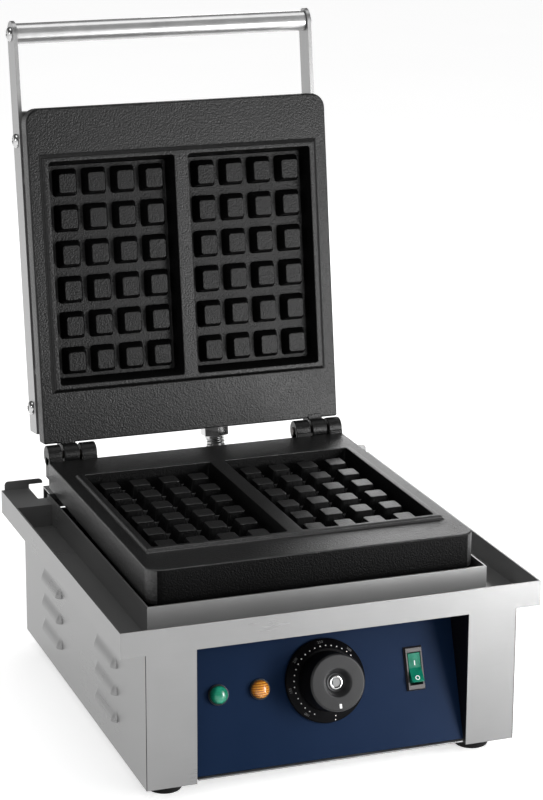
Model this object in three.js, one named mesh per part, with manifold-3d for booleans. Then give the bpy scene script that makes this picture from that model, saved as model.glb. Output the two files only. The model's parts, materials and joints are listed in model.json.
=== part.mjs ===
// Commercial belgian waffle maker, with two cast plates, a drip tray and a lid that stands open.
// Millimetres, +Z up, front towards -Y. The origin is on the floor under the middle of the machine.
import * as THREE from 'three';
import { mergeVertices } from 'three/addons/utils/BufferGeometryUtils.js';
import Module from 'manifold-3d';

const wasm = await Module();
wasm.setup();

// Driving sizes of the whole machine
const plateWidth = 241;
const plateLength = 252;
const bodyHeight = 98;
const footHeight = 11;
const coverDepth = 27;
const handleReach = 56.5;
const openAngle = THREE.MathUtils.degToRad(98);
const panelLean = THREE.MathUtils.degToRad(18);

// Gaps and overruns
const seatGap = 0.3;
const fitGap = 0.2;
const overrun = 5;

// How far the tray and the body stand out round the plates
const collarSideGap = 4.1;
const collarFrontGap = 9.1;
const gutterSideWidth = 27.9;
const gutterFrontWidth = 29.9;
const traySideOverhang = 17.5;
const trayFrontOverhang = 1.5;
const bodyBehindHinge = 14.5;

// Sheet metal of the body
const sheet = 1.2;
const pillarWidth = 36;
const pillarReturn = 38;
const topFlange = 10;
const bottomFlange = 42;
const rearFlange = 13;
const bottomFrontInset = 1.4;

// Louvres in the side panels
const louvreLength = 50;
const louvreHeight = 9;
const louvreDepth = 3.6;
const louvreSkin = 1;
const louvreRows = 3;
const louvreRowPitch = 20;
const louvreBottomRow = 26.5;
const louvreFirstCentre = 93;
const louvreColumnPitch = 143.5;
const louvreColumns = 2;
const louvreLipDrop = 0.8;

// Feet
const footRadius = 12;
const footTopRadius = 12.6;
const footStemRadius = 3.4;
const footStemLength = 9;
const footInsetX = 20.5;
const footInsetY = 25.5;
const footRecessRadius = 4.6;
const footRecessDepth = 3;

// Drip tray
const trayRimHeight = 18;
const collarHeight = 22.2;
const collarRearFromAxis = 17;
const shelfFromAxis = 30;
const lipHeight = 6.7;
const lipInset = 2.5;
const lipLength = 30;
const lipCornerRadius = 3;
const slotWidth = 11.6;
const slotLength = 28.5;
const slotFromWall = 21.7;
const slotRise = 3;

// Hinge: knuckles of the lower plate on both sides of the lid's, from the plate's edge inwards
const hingeAboveTray = 47;
const knuckleRadius = 8;
const pinRadius = 3;
const pinOverhang = 1.2;
const pinRecess = 0.8;
const knuckleEdge = 0.3;
const knuckleOuterLength = 10.8;
const knuckleLength = 12;
const knuckleGap = 1.8;
const lugBack = 3;
const lidLugReach = 16;
const lidLugDepth = 15;
const stopBackEdge = 14.5;
const stopWall = 5;
const stopGap = 0.4;

// Cast plates
const castThickness = 15;
const halfPlateGap = 0.5;
const plateFromAxis = 12.5;
const upperRearPastKnuckle = 0.8;
const lowerRearFromAxis = 6.2;
const castCornerRadius = 8;
const skirtWidth = 6;
const skirtDepth = 3.4;
const fieldRise = 2.5;
const fieldDraft = 2.2;
const fieldSideMargin = 8.5;
const fieldEndMargin = 34.5;
const pocketRimX = 6.5;
const pocketRimY = 6;
const pocketDivider = 11;
const pocketDepth = 12;
const pocketDraft = 2;
const pegRows = 6;
const pegColumns = 4;
const pegEdgeX = 8;
const pegEdgeY = 6.6;
const grooveWidth = 11;
const pegHeight = 10;
const pegDraft = 1.6;

// Heating elements under the plates
const elementRadius = 3.2;
const elementSideInset = 35.5;
const elementInnerShare = 0.35;
const elementFrontInset = 28.5;
const elementTurnInset = 57.5;
const elementEndFromAxis = 24;
const elementBend = 14;
const clampThickness = 1.5;
const clampSideInset = 28.5;
const clampEndInset = 22;

// Support of the lower plate
const railHeight = 18;
const railWidth = 24;
const railSheet = 1.5;
const railFrontInset = 44.5;
const railRearInset = 37.5;
const postRadius = 6;
const postSideInset = 15.5;

// Lid cover and spacer
const spacerInsetX = 4.5;
const spacerInsetY = 7;
const spacerDepth = 7.4;
const spacerWall = 9;
const coverInsetX = 3.3;
const coverInsetFront = 2.5;
const coverInsetRear = 0.6;
const coverSheet = 1;
const coverTab = 11;

// Arms and handle
const armWidth = 20;
const armThickness = 3;
const armGap = 0.3;
const armLow = 0.8;
const handleRadius = 8;
const handleWall = 1.2;
const handlePlug = 16;
const screwHeadRadius = 5.5;
const screwHeadHeight = 2.8;
const screwShankRadius = 2.5;
const screwShankLength = 9;
const armScrewLow = 33;
const armScrewInset = 24.5;
const smallHeadRadius = 2.9;
const smallHeadHeight = 1.9;
const smallShankRadius = 1.5;
const smallShankLength = 5;
const spacerScrewLow = 62;
const spacerScrewInset = 54.5;

// Control panel
const panelFootFromFront = 3.4;
const panelHeadroom = 3.5;
const panelTopFlange = 12;
const panelSideGap = 0.5;
const controlLineShare = 0.557;
const lampPlaceShares = [-0.787, -0.482];
const switchPlaceShare = 0.68;
const dialPlace = 0;

// Pilot lamps
const lampFlangeRadius = 7.3;
const lampFlangeThickness = 1.6;
const lampStemRadius = 5;
const lampStemLength = 22;
const lensRadius = 6.2;
const lensSkirt = 1.2;
const lensRise = 5;
const lensRecess = 0.8;

// Dial plate, knob and thermostat
const dialRadius = 29.2;
const dialEdge = 2.5;
const dialTopRadius = 22.5;
const dialRise = 7.5;
const dialBore = 7;
const knobBaseRadius = 21;
const knobFaceRadius = 19.5;
const knobHeight = 19.5;
const knobEdge = 1.2;
const knobDishRadius = 9.6;
const knobDishFloor = 6;
const knobDishDepth = 5.4;
const indexWidth = 2.2;
const indexLength = 4.6;
const indexRise = 0.4;
const indexInset = 1.6;
const insertRadius = 4.7;
const insertWall = 1.4;
const insertProud = 0.8;
const shaftRadius = 3;
const shaftFlat = 2.1;
const shaftFlatLength = 12;
const thermostatWidth = 38;
const thermostatHeight = 30;
const thermostatDepth = 28;
const bushRadius = 5;
const bulbRadius = 3;
const bulbLength = 96;
const bulbFrontInset = 64.5;
const capillaryRadius = 1.3;
const capillaryInset = 28.5;

// Power switch
const bezelWidth = 14;
const bezelHeight = 30.8;
const bezelThickness = 2.1;
const bezelEdge = 1;
const windowWidth = 9.9;
const windowHeight = 23;
const switchBodyWidth = 11.4;
const switchBodyHeight = 27.2;
const switchBodyDepth = 22;
const rockerWell = 6.4;
const rockerTilt = THREE.MathUtils.degToRad(12);
const rockerWidth = 9.3;
const rockerHalfHeight = 10.2;
const rockerEndRise = 4.6;
const rockerMiddleRise = 2.4;
const rockerBack = 2.6;

// Cable gland, hose and hose glands
const glandFlangeRadius = 11;
const glandNeckRadius = 8.6;
const glandBore = 4.6;
const glandLength = 19;
const glandFlangeThickness = 4.75;
const glandTaper = 1.2;
const glandHole = 7.2;
const glandPlaceShare = -0.578;
const glandZ = 33;
const hoseRadius = 7.4;
const hoseRibDepth = 0.9;
const hoseBore = 5.4;
const hoseRibs = 46;
const hoseRibsPerBoreRing = 5;
const hosePlaceShare = 0.2;
const hoseGlandZ = 52;
const nutFlats = 19.6;
const nutHeight = 9;
const ferruleRadius = 8;
const ferruleLength = 2.6;
const glandThreadRadius = 6.6;
const glandThreadLength = 5;
const hoseBehindPlate = 15;

// Terminal block
const blockWidth = 52;
const blockDepth = 18;
const blockHeight = 17;
const blockFromGland = 18;
const blockFromRear = 54.5;
const blockWays = 4;
const blockWayRadius = 2.2;
const blockWayDepth = 7;

// Round pieces are drawn with these numbers of sides
const screwSides = 12;
const elementSides = 8;
const knuckleSides = 24;
const coarseSides = 16;
const lampSides = 20;
const roundSides = 32;

// Heights and places that follow from the sizes above
const floorZ = 0;
const bodyBottom = floorZ + footHeight;
const bodyTop = bodyBottom + bodyHeight;
const trayFloor = bodyTop;
const plateHalf = plateWidth / 2;
const plateFar = plateFromAxis + plateLength;
const collarHalf = plateHalf + collarSideGap;
const trayHalf = collarHalf + gutterSideWidth;
const bodyHalf = trayHalf - traySideOverhang;
const trayFront = -trayFrontOverhang;
const collarFront = trayFront + gutterFrontWidth;
const plateFront = collarFront + collarFrontGap;
const hingeY = plateFront + plateFar;
const hingeZ = trayFloor + hingeAboveTray;
const bodyDepth = hingeY + bodyBehindHinge;
const castBase = halfPlateGap + fieldRise;
const castBack = castBase + castThickness;
const coverBack = castBack + coverDepth;
const hoseOnLid = castBack + hoseBehindPlate;
const armMiddle = coverBack - armWidth / 2;
const armScrewHigh = plateFar - armScrewInset;
const spacerScrewHigh = plateFar - spacerScrewInset;
const handleFromAxis = plateFar + handleReach;
const coverHalfWidth = plateHalf - coverInsetX;
const panelHalf = bodyHalf - pillarWidth - panelSideGap;
const panelFootLift = (sheet + seatGap) * 2 + sheet * Math.sin(panelLean);
const panelHeight = (bodyHeight - panelFootLift - panelHeadroom) / Math.cos(panelLean);
const controlLine = panelHeight * controlLineShare;
const lampPlaces = lampPlaceShares.map((share) => panelHalf * share);
const switchPlace = panelHalf * switchPlaceShare;
const glandX = bodyHalf * glandPlaceShare;
const hoseX = bodyHalf * hosePlaceShare;

// Materials
function finish(color, metalness, roughness) {
  return new THREE.MeshStandardMaterial({ color, metalness, roughness });
}
const steel = finish(0xb9bab8, 0.9, 0.35);
const chrome = finish(0xd5d6d6, 1, 0.12);
const iron = finish(0x26272a, 0.3, 0.6);
const darkSteel = finish(0x3a3a3c, 0.6, 0.55);
const navy = finish(0x1c2a4e, 0.1, 0.45);
const blackPlastic = finish(0x141416, 0, 0.4);
const rubber = finish(0x161616, 0, 0.8);
const greenLens = finish(0x1d8f62, 0, 0.2);
const amberLens = finish(0xd98a1e, 0, 0.2);
const copper = finish(0xa5653a, 0.9, 0.35);
const ceramic = finish(0xd8d2c4, 0, 0.7);

// Solid tools: a geometry becomes a closed solid, and solids are joined and cut
function solid(geometry) {
  const bare = geometry.clone();
  bare.deleteAttribute('normal');
  bare.deleteAttribute('uv');
  const merged = mergeVertices(bare.index ? bare.toNonIndexed() : bare);
  const mesh = new wasm.Mesh({
    numProp: 3,
    vertProperties: new Float32Array(merged.attributes.position.array),
    triVerts: new Uint32Array(merged.index.array),
  });
  return new wasm.Manifold(mesh);
}

function geometryOf(body) {
  const mesh = body.getMesh();
  const geometry = new THREE.BufferGeometry();
  geometry.setAttribute('position', new THREE.BufferAttribute(new Float32Array(mesh.vertProperties), 3));
  geometry.setIndex(new THREE.BufferAttribute(new Uint32Array(mesh.triVerts), 1));
  return geometry;
}

function join(...parts) {
  return geometryOf(parts.map(solid).reduce((whole, next) => whole.add(next)));
}

function cut(base, ...tools) {
  return geometryOf(tools.map(solid).reduce((whole, tool) => whole.subtract(tool), solid(base)));
}

// A block between two corners
function block(x, y, z) {
  const geometry = new THREE.BoxGeometry(x[1] - x[0], y[1] - y[0], z[1] - z[0]);
  return geometry.translate((x[0] + x[1]) / 2, (y[0] + y[1]) / 2, (z[0] + z[1]) / 2);
}

// A block whose upper face is drawn in by an inset on every side
function tapered(x, y, z, inset) {
  const geometry = block(x, y, z);
  const place = geometry.attributes.position;
  const middle = [(x[0] + x[1]) / 2, (y[0] + y[1]) / 2, (z[0] + z[1]) / 2];
  for (let i = 0; i < place.count; i += 1) {
    if (place.getZ(i) > middle[2]) {
      place.setX(i, place.getX(i) - Math.sign(place.getX(i) - middle[0]) * inset);
      place.setY(i, place.getY(i) - Math.sign(place.getY(i) - middle[1]) * inset);
    }
  }
  return geometry;
}

// A round bar along an axis, from its low end
function bar(radius, length, axis, sides = coarseSides) {
  const geometry = new THREE.CylinderGeometry(radius, radius, length, sides);
  geometry.translate(0, length / 2, 0);
  if (axis === 'z') geometry.rotateX(Math.PI / 2);
  if (axis === 'x') geometry.rotateZ(-Math.PI / 2);
  return geometry;
}

// A round hole through a sheet, along an axis, from a place on the sheet
function hole(radius, axis, x, y, z) {
  const geometry = bar(radius + fitGap, overrun + overrun, axis);
  const back = { x: [-overrun, 0, 0], y: [0, -overrun, 0], z: [0, 0, -overrun] }[axis];
  return geometry.translate(x + back[0], y + back[1], z + back[2]);
}

// A turned piece: pairs of radius and height, from the axis back to the axis, along an axis
function turned(profile, axis, sides = roundSides) {
  const geometry = new THREE.LatheGeometry(profile.map(([r, h]) => new THREE.Vector2(r, h)), sides);
  if (axis === 'z') geometry.rotateX(Math.PI / 2);
  if (axis === 'x') geometry.rotateZ(-Math.PI / 2);
  return geometry;
}

// A turned ring, whose profile closes on itself
function turnedRing(profile, axis, sides = roundSides) {
  return turned([...profile, profile[0]], axis, sides);
}

// A straight extrusion of an outline drawn in Y and Z, along X between two places
function prismX(outline, x, curveSegments = 6) {
  const shape = outline instanceof THREE.Shape ? outline : new THREE.Shape(
    outline.map(([y, z]) => new THREE.Vector2(y, z)));
  const geometry = new THREE.ExtrudeGeometry(shape,
    { depth: x[1] - x[0], bevelEnabled: false, curveSegments });
  geometry.rotateX(Math.PI / 2).rotateZ(Math.PI / 2);
  return geometry.translate(x[0], 0, 0);
}

// A rectangle with two round corners, on the side of its low Y
function roundFrontRectangle(halfWidth, y, radius) {
  const shape = new THREE.Shape();
  shape.moveTo(-halfWidth, y[1]);
  shape.lineTo(-halfWidth, y[0] + radius);
  shape.absarc(-halfWidth + radius, y[0] + radius, radius, Math.PI, Math.PI * 1.5, false);
  shape.absarc(halfWidth - radius, y[0] + radius, radius, Math.PI * 1.5, Math.PI * 2, false);
  shape.lineTo(halfWidth, y[1]);
  return shape;
}

function plateOf(shape, z, curveSegments = 5) {
  const geometry = new THREE.ExtrudeGeometry(shape,
    { depth: z[1] - z[0], bevelEnabled: false, curveSegments });
  return geometry.translate(0, 0, z[0]);
}

function mesh(name, geometry, material, parent) {
  const piece = new THREE.Mesh(geometry, material);
  piece.name = name;
  parent.add(piece);
  return piece;
}

const sides = [['left', -1], ['right', 1]];

// Both ends of a span on one side of the middle, with the low one first
function spanOn(side, near, far) {
  return side > 0 ? [near, far] : [-far, -near];
}

// Groups: the whole machine, the lid about its hinge and the parts on the leaning panel
const machine = new THREE.Group();
const hingeGroup = new THREE.Group();
hingeGroup.position.set(0, hingeY, hingeZ);
machine.add(hingeGroup);
const lid = new THREE.Group();
lid.rotation.x = -openAngle;
hingeGroup.add(lid);
const panelGroup = new THREE.Group();
panelGroup.position.set(0, panelFootFromFront, bodyBottom + panelFootLift);
panelGroup.rotation.x = -panelLean;
machine.add(panelGroup);

// Side panels with front pillars, flanges and louvres
function louvreShell(side, shrink) {
  const radius = louvreHeight / 2 - shrink;
  const straight = louvreLength - louvreHeight;
  const geometry = new THREE.CapsuleGeometry(radius, straight, 2, 8);
  return geometry.scale((louvreDepth - shrink) / radius, 1, 1);
}

function sidePanel(side) {
  const outer = bodyHalf;
  const height = [bodyBottom, bodyTop - seatGap];
  const depth = [0, bodyDepth];
  const pillarEdge = outer - pillarWidth;
  const parts = [
    block(spanOn(side, outer - sheet, outer), depth, height),
    block(spanOn(side, pillarEdge, outer), [0, sheet], height),
    block(spanOn(side, pillarEdge, pillarEdge + sheet), [0, pillarReturn], height),
    block(spanOn(side, outer - topFlange, outer), depth, [height[1] - sheet, height[1]]),
    block(spanOn(side, outer - bottomFlange, outer), depth, [height[0], height[0] + sheet]),
    block(spanOn(side, outer - rearFlange, outer), [bodyDepth - sheet, bodyDepth], height),
  ];
  const holes = [];
  for (let row = 0; row < louvreRows; row += 1) {
    for (let column = 0; column < louvreColumns; column += 1) {
      const y = louvreFirstCentre + column * louvreColumnPitch;
      const z = bodyBottom + louvreBottomRow + row * louvreRowPitch;
      const hood = louvreShell(side, 0).translate(side * outer, y, z);
      const below = block(spanOn(side, outer, outer + louvreDepth + overrun),
        [y - louvreLength, y + louvreLength], [z - louvreHeight, z - louvreLipDrop]);
      const within = block(spanOn(side, outer - louvreDepth - overrun, outer - sheet),
        [y - louvreLength, y + louvreLength], [z - louvreHeight, z + louvreHeight]);
      parts.push(cut(hood, below, within));
      holes.push(louvreShell(side, louvreSkin).translate(side * outer, y, z));
    }
  }
  for (const y of [footInsetY, bodyDepth - footInsetY]) {
    holes.push(hole(footStemRadius, 'z', side * (outer - footInsetX), y, bodyBottom));
  }
  for (const z of rearScrewHeights()) {
    holes.push(hole(smallShankRadius, 'y', side * (outer - rearFlange / 2), bodyDepth, z));
  }
  return cut(join(...parts), ...holes);
}

function rearScrewHeights() {
  return [bodyBottom + bodyHeight / 5, bodyTop - bodyHeight / 5];
}

for (const [name, side] of sides) {
  mesh(`${name}_side_panel`, sidePanel(side), steel, machine);
}

// Bottom plate, feet and rear panel
const innerHalf = bodyHalf - sheet - seatGap;
const bottomLevel = bodyBottom + sheet + seatGap;
const rearPanelBack = bodyDepth - sheet - seatGap;

function footPlaces() {
  const x = bodyHalf - footInsetX;
  return [
    ['foot_front_left', -x, footInsetY],
    ['foot_front_right', x, footInsetY],
    ['foot_rear_left', -x, bodyDepth - footInsetY],
    ['foot_rear_right', x, bodyDepth - footInsetY],
  ];
}

const pillarNotch = innerHalf - (pillarWidth - sheet) + fitGap;
const bottomBlank = block([-innerHalf, innerHalf], [bottomFrontInset, rearPanelBack - sheet - seatGap],
  [bottomLevel, bottomLevel + sheet]);
const bottomCuts = footPlaces().map(([, x, y]) => hole(footStemRadius, 'z', x, y, bottomLevel));
for (const side of [-1, 1]) {
  bottomCuts.push(block(spanOn(side, pillarNotch - sheet, innerHalf + overrun),
    [-overrun, pillarReturn + seatGap], [bottomLevel - overrun, bottomLevel + overrun]));
}
mesh('bottom_plate', cut(bottomBlank, ...bottomCuts), steel, machine);

for (const [name, x, y] of footPlaces()) {
  const foot = turned([
    [0, footRecessDepth], [footRecessRadius, footRecessDepth], [footRecessRadius, floorZ],
    [footRadius, floorZ], [footTopRadius, footHeight - seatGap], [footStemRadius, footHeight - seatGap],
    [footStemRadius, footHeight + footStemLength], [0, footHeight + footStemLength],
  ], 'z', coarseSides);
  mesh(name, foot.translate(x, y, 0), rubber, machine);
}

const rearBlank = block([-innerHalf, innerHalf], [rearPanelBack - sheet, rearPanelBack],
  [bottomLevel, bodyTop - sheet - seatGap - seatGap]);
const rearHoles = [
  hole(glandHole, 'y', glandX, rearPanelBack, bodyBottom + glandZ),
  hole(glandThreadRadius, 'y', hoseX, rearPanelBack, bodyBottom + hoseGlandZ),
];
for (const side of [-1, 1]) {
  for (const z of rearScrewHeights()) {
    rearHoles.push(hole(smallShankRadius, 'y', side * (bodyHalf - rearFlange / 2), rearPanelBack, z));
  }
}
mesh('rear_panel', cut(rearBlank, ...rearHoles), steel, machine);

// A screw along an axis, head outwards: the head starts at zero and the shank runs back from it
function screw(headRadius, headHeight, shankRadius, shankLength, axis, sidesOfHead = screwSides) {
  const profile = [[0, -shankLength], [shankRadius, -shankLength], [shankRadius, 0], [headRadius, 0]];
  const steps = 2;
  for (let i = 1; i <= steps; i += 1) {
    const turn = (i / steps) * (Math.PI / 2);
    const radius = i === steps ? 0 : headRadius * Math.cos(turn);
    profile.push([radius, headHeight * Math.sin(turn)]);
  }
  return turned(profile, axis, sidesOfHead);
}

for (const [name, side] of sides) {
  rearScrewHeights().forEach((z, index) => {
    const head = screw(smallHeadRadius, smallHeadHeight, smallShankRadius, smallShankLength, 'y');
    mesh(`rear_screw_${name}_${index + 1}`, head.translate(
      side * (bodyHalf - rearFlange / 2), bodyDepth + seatGap, z), chrome, machine);
  });
}

// Drip tray: rim, gutter floor, collar round the lower plate, rear shelf with two slots and lips
const trayRear = bodyDepth + sheet;
const rimTop = trayFloor + trayRimHeight;
const collarTop = trayFloor + collarHeight;
const collarRear = hingeY - collarRearFromAxis;
const shelfFront = hingeY - shelfFromAxis;

function dripTray() {
  const full = [trayFloor, rimTop];
  const parts = [
    block([-trayHalf, trayHalf], [trayFront, shelfFront + sheet], [trayFloor, trayFloor + sheet]),
    block([-trayHalf, trayHalf], [trayFront, trayFront + sheet], full),
    block([-trayHalf, trayHalf], [trayRear - sheet, trayRear], full),
    block([-trayHalf, trayHalf], [collarRear - sheet, trayRear], [rimTop - sheet, rimTop]),
    block([-collarHalf, collarHalf], [collarFront, collarFront + sheet], [trayFloor, collarTop]),
    block([-collarHalf, collarHalf], [collarRear - sheet, collarRear], [rimTop - sheet, collarTop]),
  ];
  const holes = [
    block([-collarHalf + sheet, collarHalf - sheet], [collarFront + sheet, collarRear - sheet],
      [trayFloor - overrun, collarTop + overrun]),
  ];
  for (const side of [-1, 1]) {
    const collarWall = spanOn(side, collarHalf - sheet, collarHalf);
    const sideShelf = spanOn(side, collarHalf - sheet, trayHalf);
    parts.push(
      block(spanOn(side, trayHalf - sheet, trayHalf), [trayFront, trayRear], full),
      block(collarWall, [collarFront, collarRear], [trayFloor, collarTop]),
      block(sideShelf, [shelfFront, collarRear], [rimTop - sheet, rimTop]),
      block(sideShelf, [shelfFront, shelfFront + sheet], full),
      rearLip(side),
    );
    const slotOuter = trayHalf - slotFromWall;
    holes.push(block(spanOn(side, slotOuter - slotWidth, slotOuter),
      [trayRear - slotLength, trayRear + overrun], [trayFloor - overrun, rimTop + slotRise]));
  }
  return cut(join(...parts), ...holes);
}

function rearLip(side) {
  const outer = trayHalf - lipInset;
  const inner = outer - lipLength;
  const shape = new THREE.Shape();
  shape.moveTo(inner, -sheet);
  shape.lineTo(outer, -sheet);
  const arcHeight = lipHeight - lipCornerRadius;
  shape.absarc(outer - lipCornerRadius, arcHeight, lipCornerRadius, 0, Math.PI / 2, false);
  shape.absarc(inner + lipCornerRadius, arcHeight, lipCornerRadius, Math.PI / 2, Math.PI, false);
  const lip = new THREE.ExtrudeGeometry(shape, { depth: sheet, bevelEnabled: false, curveSegments: 4 });
  lip.rotateX(Math.PI / 2).translate(0, trayRear, rimTop);
  return side > 0 ? lip : lip.rotateZ(Math.PI).translate(0, trayRear + trayRear - sheet, 0);
}

mesh('drip_tray', dripTray(), steel, machine);

// One cast cooking plate in the hinge's frame: pockets face down, and it reaches towards -Y
function castPlate(rearFromAxis) {
  const outline = roundFrontRectangle(plateHalf, [-plateFar, -rearFromAxis], castCornerRadius);
  const slab = plateOf(outline, [castBase, castBack]);
  const fieldHalf = plateHalf - fieldSideMargin;
  const fieldY = [-plateFar + fieldEndMargin, -plateFromAxis - fieldEndMargin];
  const pocketWidth = fieldHalf - pocketRimX - pocketDivider / 2;
  const pocketLength = fieldY[1] - fieldY[0] - pocketRimY * 2;
  const pegPitchX = (pocketWidth - pegEdgeX) / pegColumns;
  const pegPitchY = (pocketLength - pegEdgeY) / pegRows;
  const baseX = (pegPitchX - grooveWidth) / 2 + pegDraft;
  const baseY = (pegPitchY - grooveWidth) / 2 + pegDraft;
  const field = turnOver(tapered([-fieldHalf, fieldHalf], fieldY,
    [-castBase - fieldRise, -halfPlateGap], fieldDraft));
  const middleY = (fieldY[0] + fieldY[1]) / 2;
  const pockets = [];
  const pegs = [];
  for (const side of [-1, 1]) {
    const middleX = side * (pocketDivider + pocketWidth) / 2;
    const x = [middleX - pocketWidth / 2 + pocketDraft, middleX + pocketWidth / 2 - pocketDraft];
    const y = [middleY - pocketLength / 2 + pocketDraft, middleY + pocketLength / 2 - pocketDraft];
    const floor = halfPlateGap + pocketDepth;
    pockets.push(turnOver(tapered(x, y, [-floor, -halfPlateGap], -pocketDraft)));
    for (let row = 0; row < pegRows; row += 1) {
      for (let column = 0; column < pegColumns; column += 1) {
        const pegX = middleX + (column - (pegColumns - 1) / 2) * pegPitchX;
        const pegY = middleY + (row - (pegRows - 1) / 2) * pegPitchY;
        pegs.push(turnOver(tapered([pegX - baseX, pegX + baseX], [pegY - baseY, pegY + baseY],
          [-floor - pegDraft, -floor + pegHeight], pegDraft)));
      }
    }
  }
  return join(cut(join(slab, field), ...pockets), ...pegs);
}

// Turns a piece over about the Y axis, so that what faced up faces down
function turnOver(geometry) {
  return geometry.rotateY(Math.PI);
}

const knuckleOuter = [plateHalf - knuckleEdge - knuckleOuterLength, plateHalf - knuckleEdge];
const knuckleMiddle = [knuckleOuter[0] - knuckleGap - knuckleLength, knuckleOuter[0] - knuckleGap];
const knuckleInner = [knuckleMiddle[0] - knuckleGap - knuckleLength, knuckleMiddle[0] - knuckleGap];

function knuckle(side, span) {
  const x = spanOn(side, span[0], span[1]);
  return bar(knuckleRadius, x[1] - x[0], 'x', knuckleSides).translate(x[0], 0, 0);
}

function pinBore(side) {
  const x = spanOn(side, knuckleInner[0] - overrun, knuckleOuter[1] + overrun);
  return bar(pinRadius + fitGap, x[1] - x[0], 'x').translate(x[0], 0, 0);
}

// A skirt round the underside of the lower plate
function skirt() {
  const y = [-plateFar, -lowerRearFromAxis];
  const inner = plateHalf - skirtWidth;
  const ring = plateOf(roundFrontRectangle(plateHalf, y, castCornerRadius),
    [-castBack - skirtDepth, -castBack + castBase]);
  return cut(ring, block([-inner, inner], [y[0] + skirtWidth, y[1] - skirtWidth],
    [-castBack - skirtDepth - overrun, -castBack]));
}

// Lower plate, with two knuckles each side, and a stop nose under the lid's knuckle
function lowerPlate() {
  const parts = [turnOver(castPlate(lowerRearFromAxis)), skirt()];
  const holes = [];
  for (const side of [-1, 1]) {
    for (const span of [knuckleInner, knuckleOuter]) {
      const lug = block(spanOn(side, span[0], span[1]), [-knuckleRadius, lugBack], [-castBack, 0]);
      parts.push(knuckle(side, span), lug);
    }
    const stopX = spanOn(side, knuckleInner[1] - sheet, knuckleOuter[0] + sheet);
    parts.push(block(stopX, [-knuckleRadius - overrun, stopBackEdge],
      [-castBack, -castBack + stopWall]));
    parts.push(block(spanOn(side, knuckleMiddle[0], knuckleMiddle[1]),
      [stopBackEdge - stopWall, stopBackEdge], [-castBack, stopTop()]));
    const clear = spanOn(side, knuckleInner[1], knuckleOuter[0]);
    const clearance = bar(knuckleRadius + fitGap + fitGap, clear[1] - clear[0], 'x', knuckleSides);
    holes.push(clearance.translate(clear[0], 0, 0), pinBore(side));
  }
  return cut(join(...parts), ...holes);
}

// The lid's lug stops on the nose: its underside at the open angle, less a small gap
function stopTop() {
  return -Math.tan(openAngle - Math.PI / 2) * stopBackEdge - stopGap;
}

// Upper plate, with one knuckle each side between the lower plate's two
function upperPlate() {
  const parts = [castPlate(knuckleRadius + upperRearPastKnuckle)];
  const holes = [];
  for (const side of [-1, 1]) {
    const lug = block(spanOn(side, knuckleMiddle[0], knuckleMiddle[1]), [-lidLugReach, 0], [0, lidLugDepth]);
    parts.push(knuckle(side, knuckleMiddle), lug);
    holes.push(pinBore(side));
  }
  return cut(join(...parts), ...holes);
}

mesh('lower_plate', lowerPlate(), iron, hingeGroup);
mesh('upper_plate', upperPlate(), iron, lid);

// Hinge pins, pressed in from the outside and a little recessed
for (const [name, side] of sides) {
  const pin = bar(pinRadius, knuckleOuter[1] - pinRecess - knuckleInner[0] + pinOverhang, 'x');
  pin.translate(knuckleInner[0] - pinOverhang, 0, 0);
  mesh(`hinge_pin_${name}`, side > 0 ? pin : pin.rotateZ(Math.PI), chrome, hingeGroup);
}

// Tubular heating element, laid in four legs against the back of a plate
const elementDepth = castBack + seatGap + elementRadius;
const elementOuterLeg = plateHalf - elementSideInset;

function elementPath(depth) {
  const inner = elementOuterLeg * elementInnerShare;
  const front = elementFrontInset - plateFar;
  const turn = -plateFromAxis - elementTurnInset;
  const corners = [
    [-elementOuterLeg, -elementEndFromAxis], [-elementOuterLeg, front], [-inner, front], [-inner, turn],
    [inner, turn], [inner, front], [elementOuterLeg, front], [elementOuterLeg, -elementEndFromAxis],
  ].map(([x, y]) => new THREE.Vector3(x, y, depth));
  return roundedPath(corners, elementBend);
}

// A path through corners, each rounded by a quadratic bend
function roundedPath(corners, bend) {
  const path = new THREE.CurvePath();
  let from = corners[0];
  for (let i = 1; i < corners.length - 1; i += 1) {
    const before = corners[i].clone().lerp(corners[i - 1], bend / corners[i].distanceTo(corners[i - 1]));
    const after = corners[i].clone().lerp(corners[i + 1], bend / corners[i].distanceTo(corners[i + 1]));
    path.add(new THREE.LineCurve3(from, before));
    path.add(new THREE.QuadraticBezierCurve3(before, corners[i], after));
    from = after;
  }
  path.add(new THREE.LineCurve3(from, corners[corners.length - 1]));
  return path;
}

// A round tube through rings at chosen points of a path, with closed ends
function sweptTube(points, radius, count) {
  const positions = [];
  const index = [];
  const tangents = points.map((p, i) => points[Math.min(i + 1, points.length - 1)].clone()
    .sub(points[Math.max(i - 1, 0)]).normalize());
  let normal = new THREE.Vector3(0, 0, 1);
  if (Math.abs(tangents[0].z) > Math.SQRT1_2) normal = new THREE.Vector3(1, 0, 0);
  points.forEach((p, i) => {
    normal.sub(tangents[i].clone().multiplyScalar(normal.dot(tangents[i]))).normalize();
    const across = new THREE.Vector3().crossVectors(tangents[i], normal);
    for (let k = 0; k < count; k += 1) {
      const turn = (k / count) * Math.PI * 2;
      const at = p.clone().addScaledVector(normal, radius * Math.cos(turn));
      positions.push(...at.addScaledVector(across, radius * Math.sin(turn)).toArray());
    }
  });
  for (let i = 0; i + 1 < points.length; i += 1) {
    for (let k = 0; k < count; k += 1) {
      const a = i * count + k;
      const b = i * count + ((k + 1) % count);
      index.push(a, b, b + count, a, b + count, a + count);
    }
  }
  const last = (points.length - 1) * count;
  for (let k = 1; k + 1 < count; k += 1) {
    index.push(0, k + 1, k, last, last + k, last + k + 1);
  }
  const geometry = new THREE.BufferGeometry();
  geometry.setAttribute('position', new THREE.Float32BufferAttribute(positions, 3));
  geometry.setIndex(index);
  return geometry;
}

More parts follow.
